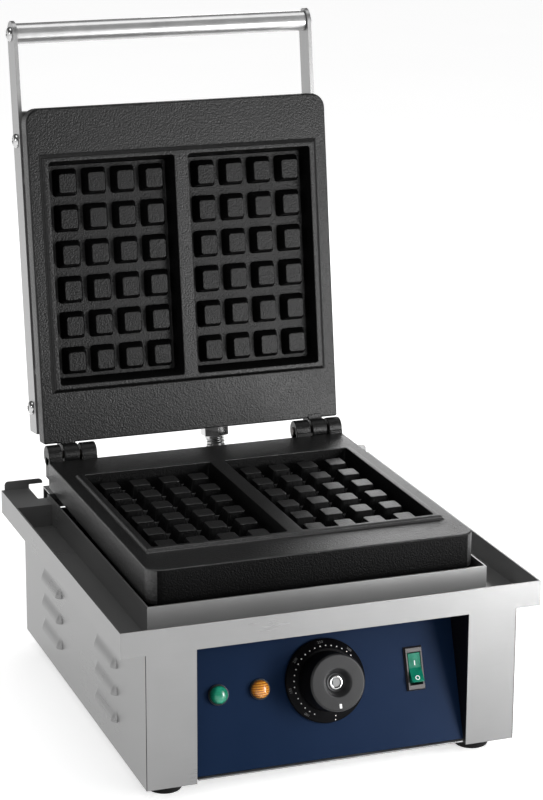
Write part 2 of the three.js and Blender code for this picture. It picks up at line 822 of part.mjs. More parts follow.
// Points of a path: the ends of its straight runs and a few along each bend
function pathPoints(path, perBend = 4) {
  const points = [path.curves[0].getPoint(0)];
  for (const curve of path.curves) {
    const steps = curve.isLineCurve3 ? 1 : perBend;
    for (let i = 1; i <= steps; i += 1) points.push(curve.getPoint(i / steps));
  }
  return points;
}

for (const [name, depth, parent] of [['lower', -elementDepth, hingeGroup], ['upper', elementDepth, lid]]) {
  const tube = sweptTube(pathPoints(elementPath(depth)), elementRadius, elementSides);
  mesh(`${name}_heating_element`, tube, darkSteel, parent);
}

// Sheets that press the elements against the plates
function clampSheet() {
  const near = elementDepth + elementRadius + seatGap;
  const half = plateHalf - clampSideInset;
  return block([-half, half], [-plateFar + clampEndInset, -plateFromAxis - clampEndInset],
    [near, near + clampThickness]);
}

const bulbNotch = block([-bulbRadius - fitGap, bulbRadius + fitGap], [-plateFar, bulbFrontInset - plateFar],
  [elementDepth, castBack + castBack]);
mesh('lower_element_clamp', turnOver(cut(clampSheet(), bulbNotch)), darkSteel, hingeGroup);
mesh('upper_element_clamp', clampSheet(), darkSteel, lid);

// Rails and posts that carry the lower plate
const railTop = trayFloor - seatGap - seatGap;
const railPlaces = [
  ['front', plateFront + railFrontInset],
  ['rear', hingeY - plateFromAxis - railRearInset],
];
for (const [name, y] of railPlaces) {
  const half = railWidth / 2;
  const outer = block([-innerHalf, innerHalf], [y - half, y + half], [railTop - railHeight, railTop]);
  const hollow = block([-innerHalf - overrun, innerHalf + overrun],
    [y - half + railSheet, y + half - railSheet], [railTop - railHeight - overrun, railTop - railSheet]);
  const ends = [-1, 1].map((side) => block(spanOn(side, bodyHalf - topFlange - seatGap, innerHalf + overrun),
    [y - railWidth, y + railWidth], [bodyTop - seatGap - sheet - seatGap, railTop + overrun]));
  mesh(`${name}_rail`, cut(outer, hollow, ...ends), steel, machine);
}

const postTop = hingeZ - castBack - seatGap;
for (const [row, y] of railPlaces) {
  for (const [name, side] of sides) {
    const post = bar(postRadius, postTop - railTop - seatGap, 'z');
    post.translate(side * (plateHalf - postSideInset), y, railTop + seatGap);
    mesh(`plate_post_${row}_${name}`, post, steel, machine);
  }
}

// Spacer frame between the upper plate and the lid cover
const spacerNear = castBack + seatGap;
const spacerFar = spacerNear + spacerDepth;
const spacerHalf = plateHalf - spacerInsetX;
const spacerY = [-plateFar + spacerInsetY, -plateFromAxis - coverTab - seatGap];
const spacerBlank = block([-spacerHalf, spacerHalf], spacerY, [spacerNear, spacerFar]);
const spacerHollow = block([-spacerHalf + spacerWall, spacerHalf - spacerWall],
  [spacerY[0] + spacerWall, spacerY[1] - spacerWall], [spacerNear - overrun, spacerFar + overrun]);
const entryHalf = elementRadius + fitGap;
const spacerEntries = [-1, 1].map((side) => block(
  [side * elementOuterLeg - entryHalf, side * elementOuterLeg + entryHalf],
  [spacerY[1] - spacerWall - overrun, overrun], [spacerNear - overrun, elementDepth + entryHalf]));
const spacerBores = [];
for (const side of [-1, 1]) {
  for (const v of [spacerScrewLow, spacerScrewHigh]) {
    const start = side > 0 ? spacerHalf - smallShankLength - fitGap : -spacerHalf - overrun;
    spacerBores.push(bar(smallShankRadius + fitGap, smallShankLength + fitGap + overrun, 'x').translate(
      start, -v, (spacerNear + spacerFar) / 2));
  }
}
mesh('lid_spacer_frame', cut(spacerBlank, spacerHollow, ...spacerEntries, ...spacerBores), darkSteel, lid);

// Stainless lid cover: a pan over the back, with tabs beside the hinge end
const coverY = [-plateFar + coverInsetFront, -plateFromAxis - coverInsetRear];
const coverNear = spacerFar + seatGap;

function lidCover() {
  const outer = block([-coverHalfWidth, coverHalfWidth], coverY, [spacerNear, coverBack]);
  const hollow = block([-coverHalfWidth + coverSheet, coverHalfWidth - coverSheet],
    [coverY[0] + coverSheet, coverY[1] - coverSheet], [spacerNear - overrun, coverBack - coverSheet]);
  const mouth = block([-coverHalfWidth - overrun, coverHalfWidth + overrun],
    [coverY[0] - overrun, coverY[1] - coverTab], [spacerNear - overrun, coverNear]);
  const holes = [hole(glandThreadRadius, 'y', hoseX, coverY[1], hoseOnLid)];
  for (const side of [-1, 1]) {
    for (const v of [armScrewLow, armScrewHigh]) {
      holes.push(hole(screwShankRadius, 'x', side * coverHalfWidth, -v, armMiddle));
    }
  }
  return cut(outer, hollow, mouth, ...holes);
}

mesh('lid_cover', lidCover(), steel, lid);

// Flat-bar arms with a round end at the handle
const armFace = coverHalfWidth + armGap;

function arm(side) {
  const shape = new THREE.Shape();
  shape.moveTo(-plateFromAxis - armLow, armMiddle + armWidth / 2);
  shape.lineTo(-handleFromAxis, armMiddle + armWidth / 2);
  shape.absarc(-handleFromAxis, armMiddle, armWidth / 2, Math.PI / 2, Math.PI * 1.5, false);
  shape.lineTo(-plateFromAxis - armLow, armMiddle - armWidth / 2);
  const blank = prismX(shape, spanOn(side, armFace, armFace + armThickness), 10);
  const bores = [-armScrewLow, -armScrewHigh, -handleFromAxis].map((y) => hole(
    screwShankRadius, 'x', side * armFace, y, armMiddle));
  return cut(blank, ...bores);
}

for (const [name, side] of sides) {
  mesh(`${name}_arm`, arm(side), steel, lid);
  const places = [['low', armScrewLow], ['high', armScrewHigh], ['handle', handleFromAxis]];
  for (const [place, v] of places) {
    const head = screw(
      screwHeadRadius, screwHeadHeight, screwShankRadius, screwShankLength, 'x', coarseSides);
    head.translate(armFace + armThickness + seatGap, side * -v, armMiddle);
    mesh(`arm_screw_${name}_${place}`, side > 0 ? head : head.rotateZ(Math.PI), chrome, lid);
  }
  for (const [place, v] of [['low', spacerScrewLow], ['high', spacerScrewHigh]]) {
    const head = screw(smallHeadRadius, smallHeadHeight, smallShankRadius, smallShankLength, 'x');
    head.translate(spacerHalf + seatGap, side * -v, (spacerNear + spacerFar) / 2);
    mesh(`spacer_screw_${name}_${place}`, side > 0 ? head : head.rotateZ(Math.PI), chrome, lid);
  }
}

// Handle tube, plugged and tapped at both ends
const handleHalf = armFace - armGap;
const tapRadius = screwShankRadius + fitGap;
mesh('handle_tube', turnedRing([
  [handleRadius, -handleHalf], [handleRadius, handleHalf], [tapRadius, handleHalf],
  [tapRadius, handleHalf - handlePlug], [handleRadius - handleWall, handleHalf - handlePlug],
  [handleRadius - handleWall, -handleHalf + handlePlug], [tapRadius, -handleHalf + handlePlug],
  [tapRadius, -handleHalf],
], 'x').translate(0, -handleFromAxis, armMiddle), chrome, lid);

// Control panel: a leaning sheet, with its controls in its own frame (X across, -Y out, Z up the panel)
function controlPanel() {
  const parts = [
    block([-panelHalf, panelHalf], [0, sheet], [0, panelHeight]),
    block([-panelHalf, panelHalf], [0, panelTopFlange], [panelHeight - sheet, panelHeight]),
  ];
  const holes = lampPlaces.map((x) => hole(lampStemRadius, 'y', x, 0, controlLine));
  const switchHalf = [switchBodyWidth / 2 + fitGap, switchBodyHeight / 2 + fitGap];
  holes.push(hole(bushRadius, 'y', dialPlace, 0, controlLine));
  holes.push(block([switchPlace - switchHalf[0], switchPlace + switchHalf[0]], [-overrun, overrun],
    [controlLine - switchHalf[1], controlLine + switchHalf[1]]));
  return cut(join(...parts), ...holes);
}

mesh('control_panel', controlPanel(), navy, panelGroup);

// Pieces on the panel are turned about an axis that points out of it
function onPanel(geometry, x) {
  return geometry.rotateZ(Math.PI).translate(x, 0, controlLine);
}

for (const [index, [name, material]] of [['green', greenLens], ['amber', amberLens]].entries()) {
  const x = lampPlaces[index];
  const seat = lampFlangeThickness - lensRecess;
  const holder = turned([
    [0, -lampStemLength], [lampStemRadius, -lampStemLength], [lampStemRadius, seatGap],
    [lampFlangeRadius, seatGap], [lampFlangeRadius, lampFlangeThickness],
    [lensRadius + fitGap, lampFlangeThickness], [lensRadius + fitGap, seat], [0, seat],
  ], 'y', lampSides);
  mesh(`${name}_lamp_holder`, onPanel(holder, x), blackPlastic, panelGroup);
  const skirtTop = seat + seatGap + lensSkirt;
  const lens = [[0, seat + seatGap], [lensRadius, seat + seatGap], [lensRadius, skirtTop]];
  const steps = 5;
  for (let i = 1; i <= steps; i += 1) {
    const turn = (i / steps) * (Math.PI / 2);
    lens.push([i === steps ? 0 : lensRadius * Math.cos(turn), skirtTop + lensRise * Math.sin(turn)]);
  }
  mesh(`${name}_lamp_lens`, onPanel(turned(lens, 'y', lampSides), x), material, panelGroup);
}

// The dial is a low cone round the knob
mesh('dial_plate', onPanel(turnedRing([
  [dialBore, seatGap], [dialRadius, seatGap], [dialRadius, seatGap + dialEdge],
  [dialTopRadius, seatGap + dialRise], [dialBore, seatGap + dialRise],
], 'y', roundSides + 16), dialPlace), blackPlastic, panelGroup);

const knobBase = dialRise + seatGap * 2;
const knobFace = knobBase + knobHeight;
const knobTurned = turnedRing([
  [insertRadius + fitGap, knobBase], [knobBaseRadius, knobBase], [knobFaceRadius, knobFace - knobEdge],
  [knobFaceRadius - knobEdge, knobFace], [knobDishRadius, knobFace],
  [knobDishFloor, knobFace - knobDishDepth], [insertRadius + fitGap, knobFace - knobDishDepth],
], 'y', roundSides + 8);
const indexEnd = knobFaceRadius - indexInset;
const knobIndex = block([-indexWidth / 2, indexWidth / 2], [knobFace - knobEdge, knobFace + indexRise],
  [-indexEnd, indexLength - indexEnd]);
mesh('knob', onPanel(join(knobTurned, knobIndex), dialPlace), blackPlastic, panelGroup);

const insertTop = knobFace - knobDishDepth + insertProud;
mesh('knob_insert', onPanel(turnedRing([
  [insertRadius - insertWall, knobBase], [insertRadius, knobBase], [insertRadius, insertTop],
  [insertRadius - insertWall, insertTop],
], 'y', knuckleSides), dialPlace), chrome, panelGroup);

// The shaft has a flat where the knob grips it
const shaftBack = -sheet - seatGap - seatGap;
const shaftTop = insertTop - seatGap;
const shaftBlank = bar(shaftRadius, shaftTop - shaftBack, 'y').translate(0, shaftBack, 0);
const shaftFlatCut = block([shaftFlat, shaftRadius + overrun],
  [shaftTop - shaftFlatLength, shaftTop + overrun], [-shaftRadius - overrun, shaftRadius + overrun]);
mesh('thermostat_shaft', onPanel(cut(shaftBlank, shaftFlatCut), dialPlace), steel, panelGroup);

const thermostatFront = -sheet - seatGap;
const thermostatBody = join(
  block([-thermostatWidth / 2, thermostatWidth / 2], [thermostatFront - thermostatDepth, thermostatFront],
    [-thermostatHeight / 2, thermostatHeight / 2]),
  bar(bushRadius, sheet + seatGap + dialEdge, 'y').translate(0, thermostatFront - seatGap, 0),
);
const thermostatBore = bar(shaftRadius + fitGap, overrun * 3, 'y').translate(0, shaftBack - fitGap, 0);
mesh('thermostat_body', onPanel(cut(thermostatBody, thermostatBore), dialPlace), darkSteel, panelGroup);

// Power switch: housing with a bezel, and a rocker on its pivot
function switchHousing() {
  const outer = [-bezelWidth / 2, bezelWidth / 2];
  const tall = [-bezelHeight / 2, bezelHeight / 2];
  const rim = tapered(outer, tall, [seatGap, seatGap + bezelThickness], bezelEdge);
  rim.rotateX(Math.PI / 2).rotateZ(Math.PI);
  const core = block([-switchBodyWidth / 2, switchBodyWidth / 2], [-switchBodyDepth, -seatGap - fitGap],
    [-switchBodyHeight / 2, switchBodyHeight / 2]);
  const neck = block([-windowWidth / 2 - sheet / 2, windowWidth / 2 + sheet / 2], [-sheet, seatGap + sheet],
    [-windowHeight / 2 - sheet, windowHeight / 2 + sheet]);
  const well = block([-windowWidth / 2, windowWidth / 2], [-rockerWell, bezelThickness + overrun],
    [-windowHeight / 2, windowHeight / 2]);
  return cut(join(rim, core, neck), well);
}

mesh('power_switch', onPanel(switchHousing(), switchPlace), blackPlastic, panelGroup);

const rockerOutline = [
  [-rockerBack, -rockerHalfHeight], [rockerEndRise, -rockerHalfHeight], [rockerMiddleRise, 0],
  [rockerEndRise, rockerHalfHeight], [-rockerBack, rockerHalfHeight],
];
const rocker = prismX(rockerOutline, [-rockerWidth / 2, rockerWidth / 2]);
rocker.rotateX(rockerTilt);
mesh('switch_rocker', onPanel(rocker, switchPlace), greenLens, panelGroup);

// Thermostat bulb under the lower plate and its capillary, in one piece
panelGroup.updateMatrixWorld(true);
const capillaryStart = panelGroup.localToWorld(new THREE.Vector3(
  dialPlace, -(thermostatFront - thermostatDepth) + seatGap, controlLine + thermostatHeight / 4));
const bulbZ = hingeZ - castBack - seatGap - bulbRadius;
const bulbFront = new THREE.Vector3(0, plateFront + bulbFrontInset, bulbZ);
const capillaryEnd = bulbFront.clone().add(new THREE.Vector3(0, bulbRadius, 0));
const capillaryY = plateFront + capillaryInset;
const capillaryOut = capillaryStart.clone().add(new THREE.Vector3(0, elementBend / 2, -elementBend / 7));
const capillary = new THREE.CatmullRomCurve3([
  capillaryStart, capillaryOut,
  new THREE.Vector3(0, capillaryY, capillaryStart.z + elementBend),
  new THREE.Vector3(0, capillaryY, bulbZ - elementBend),
  new THREE.Vector3(0, capillaryY + elementBend, bulbZ),
  capillaryEnd,
]);
const bulb = bar(bulbRadius, bulbLength, 'y', 12).translate(bulbFront.x, bulbFront.y, bulbFront.z);
const capillaryTube = sweptTube(capillary.getPoints(24), capillaryRadius, 6);
mesh('thermostat_capillary', join(capillaryTube, bulb), copper, machine);

// Cable gland in the rear panel, with its bore open
const glandInner = rearPanelBack - sheet - seatGap - glandFlangeThickness;
const glandFace = rearPanelBack + seatGap - glandInner;
const glandEnd = glandFace + glandLength;
mesh('cable_gland', turnedRing([
  [glandBore, 0], [glandHole, 0], [glandHole, glandFace], [glandFlangeRadius, glandFace],
  [glandFlangeRadius, glandFace + glandFlangeThickness], [glandNeckRadius, glandFace + glandFlangeThickness],
  [glandNeckRadius - glandTaper, glandEnd], [glandBore, glandEnd],
], 'y', knuckleSides).translate(glandX, glandInner, bodyBottom + glandZ), blackPlastic, machine);

// Hose glands: a hexagon nut, a ferrule for the hose and a short threaded neck through the sheet
function hoseGland(wall) {
  const nut = new THREE.CylinderGeometry(nutFlats / Math.sqrt(3), nutFlats / Math.sqrt(3), nutHeight, 6)
    .translate(0, seatGap + nutHeight / 2, 0);
  const inner = -glandThreadLength - wall;
  const ferrule = bar(ferruleRadius, ferruleLength + sheet, 'y', knuckleSides);
  ferrule.translate(0, nutHeight - sheet, 0);
  const neck = bar(glandThreadRadius, sheet - inner, 'y', knuckleSides).translate(0, inner, 0);
  const bore = bar(hoseBore, nutHeight + ferruleLength - inner + overrun * 2, 'y', knuckleSides);
  bore.translate(0, inner - overrun, 0);
  return cut(join(nut, ferrule, neck), bore);
}

mesh('lid_hose_gland', hoseGland(coverSheet).translate(hoseX, coverY[1], hoseOnLid), chrome, lid);
const bodyGland = hoseGland(sheet).translate(hoseX, rearPanelBack, bodyBottom + hoseGlandZ);
mesh('body_hose_gland', bodyGland, chrome, machine);

// Ribbed metal hose from the body to the lid, straight for one diameter at each end
const glandReach = nutHeight + ferruleLength + seatGap;
const hoseStraight = hoseRadius * 2;
lid.updateMatrixWorld(true);
machine.updateMatrixWorld(true);
const hoseTop = lid.localToWorld(new THREE.Vector3(hoseX, coverY[1] + glandReach, hoseOnLid));
const hoseTopOut = lid.localToWorld(
  new THREE.Vector3(hoseX, coverY[1] + glandReach + hoseStraight, hoseOnLid));
const hoseFoot = new THREE.Vector3(hoseX, rearPanelBack + glandReach, bodyBottom + hoseGlandZ);
const hoseFootOut = hoseFoot.clone().add(new THREE.Vector3(0, hoseStraight, 0));
const hoseSpan = hoseTopOut.z - hoseFootOut.z;
const hoseRouteShares = [[0.42, 0.1], [0.62, 0.38], [0.45, 0.68]];
const hosePoints = [hoseFoot, hoseFootOut,
  ...hoseRouteShares.map(([back, up]) => new THREE.Vector3(hoseX, hoseFootOut.y + back * hoseSpan,
    hoseFootOut.z + up * hoseSpan)),
  hoseTopOut, hoseTop];

// The whole route: a straight run, a smooth bend through the middle points, and a straight run
const hoseBend = new THREE.CatmullRomCurve3(hosePoints, false, 'centripetal');

function ribbedHose() {
  const rings = [];
  const steps = hoseRibs * 2;
  for (let i = 0; i <= steps; i += 1) {
    const rib = i > 1 && i < steps - 1 && i % 2 === 1;
    rings.push([i / steps, rib ? hoseRadius : hoseRadius - hoseRibDepth]);
  }
  const outside = tubeRings(rings);
  const bore = [];
  const boreSteps = Math.ceil(steps / (hoseRibsPerBoreRing * 2));
  for (let i = 0; i <= boreSteps; i += 1) bore.push([i / boreSteps, hoseBore]);
  const inside = tubeRings(bore);
  const positions = [...outside.positions, ...inside.positions];
  const shift = outside.positions.length / 3;
  const index = [...outside.index];
  for (let i = 0; i < inside.index.length; i += 3) {
    index.push(shift + inside.index[i], shift + inside.index[i + 2], shift + inside.index[i + 1]);
  }
  const lastOut = (rings.length - 1) * hoseSides;
  const lastIn = shift + (bore.length - 1) * hoseSides;
  for (let k = 0; k < hoseSides; k += 1) {
    const next = (k + 1) % hoseSides;
    index.push(k, shift + k, shift + next, k, shift + next, next);
    index.push(lastOut + k, lastIn + next, lastIn + k, lastOut + k, lastOut + next, lastIn + next);
  }
  const geometry = new THREE.BufferGeometry();
  geometry.setAttribute('position', new THREE.Float32BufferAttribute(positions, 3));
  geometry.setIndex(index);
  return geometry;
}

// Rings of eight points about the route, which lies in a plane of one X
const hoseSides = 8;
function tubeRings(rings) {
  const positions = [];
  const index = [];
  rings.forEach(([share, radius], i) => {
    const at = hoseBend.getPointAt(share);
    const along = hoseBend.getTangentAt(share);
    const across = new THREE.Vector3(1, 0, 0);
    const up = new THREE.Vector3().crossVectors(along, across).normalize();
    for (let k = 0; k < hoseSides; k += 1) {
      const turn = (k / hoseSides) * Math.PI * 2;
      const point = at.clone().addScaledVector(across, radius * Math.cos(turn));
      positions.push(...point.addScaledVector(up, radius * Math.sin(turn)).toArray());
    }
    if (i > 0) {
      for (let k = 0; k < hoseSides; k += 1) {
        const a = (i - 1) * hoseSides + k;
        const b = (i - 1) * hoseSides + ((k + 1) % hoseSides);
        index.push(a, b, b + hoseSides, a, b + hoseSides, a + hoseSides);
      }
    }
  });
  return { positions, index };
}

mesh('conduit_hose', ribbedHose(), steel, machine);

// Terminal block on the bottom plate
const blockLow = bottomLevel + sheet + seatGap;
const blockX = glandX + blockFromGland;
const blockY = bodyDepth - blockFromRear;
const blockTop = blockLow + blockHeight;
const blockBlank = block([blockX - blockWidth / 2, blockX + blockWidth / 2],
  [blockY - blockDepth / 2, blockY + blockDepth / 2], [blockLow, blockTop]);
const blockBores = [];
for (let i = 0; i < blockWays; i += 1) {
  const x = blockX + (i - (blockWays - 1) / 2) * (blockWidth / blockWays);
  const way = bar(blockWayRadius, blockWayDepth + overrun, 'z');
  blockBores.push(way.translate(x, blockY, blockTop - blockWayDepth));
}
mesh('terminal_block', cut(blockBlank, ...blockBores), ceramic, machine);

// The origin goes under the middle of the machine with its lid open
machine.updateMatrixWorld(true);
const extent = new THREE.Box3().setFromObject(machine, true);
machine.position.y = -(extent.min.y + extent.max.y) / 2;

export default machine;
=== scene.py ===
import json
import math

import bmesh
import bpy
from mathutils import Matrix, Vector


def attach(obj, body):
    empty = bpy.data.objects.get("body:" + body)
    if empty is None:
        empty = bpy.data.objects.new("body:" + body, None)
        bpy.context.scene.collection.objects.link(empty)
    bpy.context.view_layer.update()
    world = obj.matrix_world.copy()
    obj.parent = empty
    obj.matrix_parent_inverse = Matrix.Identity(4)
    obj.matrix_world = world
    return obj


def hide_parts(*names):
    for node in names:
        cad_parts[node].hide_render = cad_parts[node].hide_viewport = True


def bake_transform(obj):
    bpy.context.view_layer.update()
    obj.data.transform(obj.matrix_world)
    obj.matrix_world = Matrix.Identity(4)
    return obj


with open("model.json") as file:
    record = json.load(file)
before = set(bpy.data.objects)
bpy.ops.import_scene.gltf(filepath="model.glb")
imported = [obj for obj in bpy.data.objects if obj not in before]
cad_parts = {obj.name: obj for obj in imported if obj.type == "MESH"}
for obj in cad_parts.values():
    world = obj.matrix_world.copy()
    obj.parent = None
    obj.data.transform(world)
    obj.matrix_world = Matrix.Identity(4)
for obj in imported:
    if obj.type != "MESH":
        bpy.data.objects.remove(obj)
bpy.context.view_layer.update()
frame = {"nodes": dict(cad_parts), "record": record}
scene = bpy.context.scene
nodes = frame["nodes"]
bodies = frame["record"]["behaviour"]["bodies"]
body_of = {node: body for body, members in bodies.items() for node in members}

# Shapes are drawn in millimetres and brought to metres when a piece is finished
MM = 0.001
PANEL_LEAN = math.radians(18)
LID_OPEN = math.radians(98)
HINGE = Vector((0, 110.38, 156))

# The panel's frame: X across, Y up the panel, Z out of it. Its controls stand on one line
PANEL_FOOT = (0, -188.218, 14.371)
PANEL = Matrix.Translation(PANEL_FOOT) @ Matrix.Rotation(math.pi / 2 - PANEL_LEAN, 4, "X")
CONTROL_LINE = 53.371
LAMP_X = {"green": -77.52, "amber": -47.48}
SWITCH_X = 66.98
DIAL = PANEL @ Matrix.Translation((0, CONTROL_LINE, 0))
SWITCH = PANEL @ Matrix.Translation((SWITCH_X, CONTROL_LINE, 0))

# The lower plate's frame and the lid's: Y runs back towards the hinge, Z up or out of the lid's back
LOWER = Matrix.Translation(HINGE)
LID = LOWER @ Matrix.Rotation(-LID_OPEN, 4, "X")
ALONG_X = Matrix.Rotation(math.pi / 2, 4, "Y")
ALONG_Y = Matrix.Rotation(-math.pi / 2, 4, "X")


# Camera, at the photograph's angle
AIM = Vector((-0.0145, -0.0295, 0.2388))
AZIMUTH, ELEVATION, DISTANCE = math.radians(-19.21), math.radians(15.84), 1.8143
SENSOR = 36
FOCAL_PIXELS, PICTURE_HEIGHT = 2518.4, 800
SHIFT_X, SHIFT_Y = 0.0436, -0.0164


def set_camera():
    """The camera as it was fitted to the edges in the photograph."""
    data = bpy.data.cameras.new("view")
    camera = bpy.data.objects.new("view", data)
    scene.collection.objects.link(camera)
    back = Vector((
        math.sin(AZIMUTH) * math.cos(ELEVATION),
        -math.cos(AZIMUTH) * math.cos(ELEVATION),
        math.sin(ELEVATION),
    ))
    camera.location = AIM + back * DISTANCE
    camera.rotation_euler = back.to_track_quat("Z", "Y").to_euler()
    data.sensor_width = SENSOR
    data.lens = SENSOR * FOCAL_PIXELS / PICTURE_HEIGHT
    data.shift_x = SHIFT_X
    data.shift_y = SHIFT_Y
    scene.camera = camera


# Materials
class Socket:
    """A node's output, with its arithmetic written as Python."""

    def __init__(self, graph, output):
        self.graph = graph
        self.output = output

    def math(self, operation, *others):
        values = dict(enumerate((self, *others)))
        return self.graph.node("ShaderNodeMath", {"operation": operation}, values)

    def __add__(self, other):
        return self.math("ADD", other)

    def __sub__(self, other):
        return self.math("SUBTRACT", other)

    def __mul__(self, other):
        return self.math("MULTIPLY", other)

    def __rsub__(self, other):
        return (self * -1) + other

    __radd__ = __add__
    __rmul__ = __mul__


class Graph:
    """The nodes of a material or of the world."""

    def __init__(self, tree):
        self.tree = tree

    def set_or_link(self, value, socket):
        """Gives a socket a plain value, or a link where the value is a node's output."""
        if isinstance(value, Socket):
            self.tree.links.new(value.output, socket)
        else:
            socket.default_value = value

    def node(self, kind, settings=None, values=None, output=0):
        """Adds a node, its settings first and then its inputs, and returns one of its outputs."""
        made = self.tree.nodes.new(kind)
        for key, value in (settings or {}).items():
            setattr(made, key, value)
        for key, value in (values or {}).items():
            self.set_or_link(value, made.inputs[key])
        return Socket(self, made.outputs[output])

    def ray(self, kind):
        """Whether what is shown is met by a ray of this kind, as 1 or 0."""
        return self.node("ShaderNodeLightPath", output=f"Is {kind} Ray")

    def along(self, place, direction):
        """How far a place lies along a direction."""
        values = {0: place, 1: direction}
        return self.node("ShaderNodeVectorMath", {"operation": "DOT_PRODUCT"}, values, "Value")

    def fade(self, value, start, end, first, last):
        """Goes from the first level to the last while the value goes from start to end."""
        values = {"Value": value, 1: start, 2: end, 3: first, 4: last}
        return self.node("ShaderNodeMapRange", {"clamp": True}, values)


class Finish(Graph):
    """One material: a Principled shader and the nodes that feed it."""

    def __init__(self, name, **constants):
        self.material = bpy.data.materials.new(name)
        self.material.use_nodes = True
        super().__init__(self.material.node_tree)
        self.shader = self.tree.nodes["Principled BSDF"]
        self.feed(**constants)

    def feed(self, **values):
        """Feeds the shader's own sockets."""
        for socket, value in values.items():
            self.set_or_link(value, self.shader.inputs[socket.replace("_", " ")])

    def place(self):
        return self.node("ShaderNodeTexCoord", output="Object")

    def facing(self):
        return self.node("ShaderNodeTexCoord", output="Normal")

    def stretched(self, x, y, z):
        """The place, scaled along each axis, for streaks."""
        return self.node("ShaderNodeMapping", {}, {"Vector": self.place(), "Scale": (x, y, z)})

    def noise(self, scale, detail=2, rough=0.5, vector=None):
        vector = vector or self.place()
        values = {"Scale": scale, "Detail": detail, "Roughness": rough, "Vector": vector}
        return self.node("ShaderNodeTexNoise", {}, values)

    def spread(self, value, low, high):
        """Brings the middle of a noise's range to the span from low to high."""
        return self.fade(value, 0.3, 0.7, low, high)

    def blend(self, share, first, second):
        """A colour between two, by a share from 0 to 1."""
        return self.node("ShaderNodeMix", {"data_type": "RGBA"}, {0: share, 6: first, 7: second}, 2)

    def part(self, vector, axis):
        """One of a vector's three parts."""
        values = {"Vector": vector}
        return self.node("ShaderNodeSeparateXYZ", {}, values, axis)

    def bump(self, height, strength, distance):
        values = {"Height": height, "Strength": strength, "Distance": distance}
        return self.node("ShaderNodeBump", {}, values)


def grey(level):
    return (level, level, level, 1)


def satin_steel(name, dark, light, rough):
    """Stainless sheet, ground along its length, with faint smudges."""
    f = Finish(name, Metallic=0.75)
    upright = f.noise(1, 3, 0.6, f.stretched(22, 22, 1700))
    flat = f.noise(1, 3, 0.6, f.stretched(22, 1700, 22))
    level = f.part(f.facing(), "Z").math("ABSOLUTE").math("GREATER_THAN", 0.6)
    streak = upright * (1 - level) + flat * level
    cloud = f.noise(9, 3, 0.55)
    f.feed(
        Base_Color=f.blend(f.spread(streak * 0.12 + cloud * 0.88, 0, 1), grey(dark), grey(light)),
        Roughness=f.spread(streak * 0.2 + cloud * 0.8, rough - 0.02, rough + 0.04),
        Normal=f.bump(streak, 0.006, 0.0001),
    )
    return f.material


def polished(name, level, rough, metal=1.0):
    """Plated or polished metal with fine wipe marks."""
    f = Finish(name, Metallic=metal)
    cloud = f.noise(60, 4, 0.6)
    fine = f.noise(420, 2, 0.5)
    f.feed(
        Base_Color=f.blend(f.spread(cloud, 0, 1), grey(level - 0.05), grey(level + 0.04)),
        Roughness=f.spread(cloud * 0.6 + fine * 0.4, rough, rough + 0.07),
    )
    return f.material


def seasoned_iron(name, sheen):
    """Black casting with an orange-peel skin, a little oily."""
    f = Finish(name, Metallic=0.0, Specular_IOR_Level=sheen)
    grain = f.noise(760, 2, 0.5)
    pits = f.noise(1600, 2, 0.6)
    oil = f.noise(14, 4, 0.6)
    skin = grain * 0.8 + pits * 0.2
    stain = f.spread(oil * 0.5 + skin * 0.5, 0, 1)
    f.feed(
        Base_Color=f.blend(stain, (0.0015, 0.0015, 0.0015, 1), (0.0045, 0.0045, 0.0047, 1)),
        Roughness=f.spread(oil * 0.6 + skin * 0.4, 0.30, 0.42),
        Normal=f.bump(skin, 0.8, 0.0006),
    )
    return f.material


def coated_panel():
    """Dark blue printed front sheet with a satin lacquer."""
    f = Finish("coated_panel", Specular_IOR_Level=0.03, Coat_Roughness=0.3)
    cloud = f.noise(14, 3, 0.5)
    fine = f.noise(900, 2, 0.5)
    f.feed(
        Base_Color=f.blend(
            f.spread(cloud, 0, 1), (0.0042, 0.0126, 0.0350, 1), (0.0056, 0.0150, 0.0410, 1),
        ),
        Roughness=f.spread(cloud * 0.4 + fine * 0.6, 0.38, 0.46),
        Coat_Weight=f.spread(cloud, 0.0, 0.02),
        Normal=f.bump(fine, 0.06, 0.0001),
    )
    return f.material


def moulded(name, dark, light, rough, grain=1400, depth=0.18, sheen=0.5):
    """Moulded plastic or rubber with a fine spark-eroded texture."""
    f = Finish(name, Specular_IOR_Level=sheen)
    fine = f.noise(grain, 2, 0.5)
    cloud = f.noise(45, 3, 0.5)
    f.feed(
        Base_Color=f.blend(f.spread(cloud * 0.5 + fine * 0.5, 0, 1), dark, light),
        Roughness=f.spread(fine * 0.5 + cloud * 0.5, rough - 0.05, rough + 0.06),
        Normal=f.bump(fine, depth, 0.0002),
    )
    return f.material


# The way up the panel, and the spacing of fine ridges in the lenses and in the rocker, in metres
UP_PANEL = (0, math.sin(PANEL_LEAN), math.cos(PANEL_LEAN))
LENS_RIB, ROCKER_RIDGE = 0.00165, 0.0011


def lens_glass(name, deep, bright, ribs):
    """Clear tinted plastic, ribbed inside across the lens."""
    f = Finish(name, Transmission_Weight=0.25, IOR=1.46, Coat_Weight=0.6, Coat_Roughness=0.3)
    wave = (f.along(f.place(), UP_PANEL) * (2 * math.pi / LENS_RIB)).math("SINE") * 0.5 + 0.5
    cloud = f.noise(170, 2, 0.5)
    tone = wave * ribs + f.spread(cloud, 0, 1) * (1 - ribs)
    f.feed(
        Base_Color=f.blend(tone, deep, bright),
        Roughness=f.spread(cloud, 0.10, 0.18),
        Normal=f.bump(wave, 0.25 * ribs + 0.05, 0.0004),
    )
    return f.material


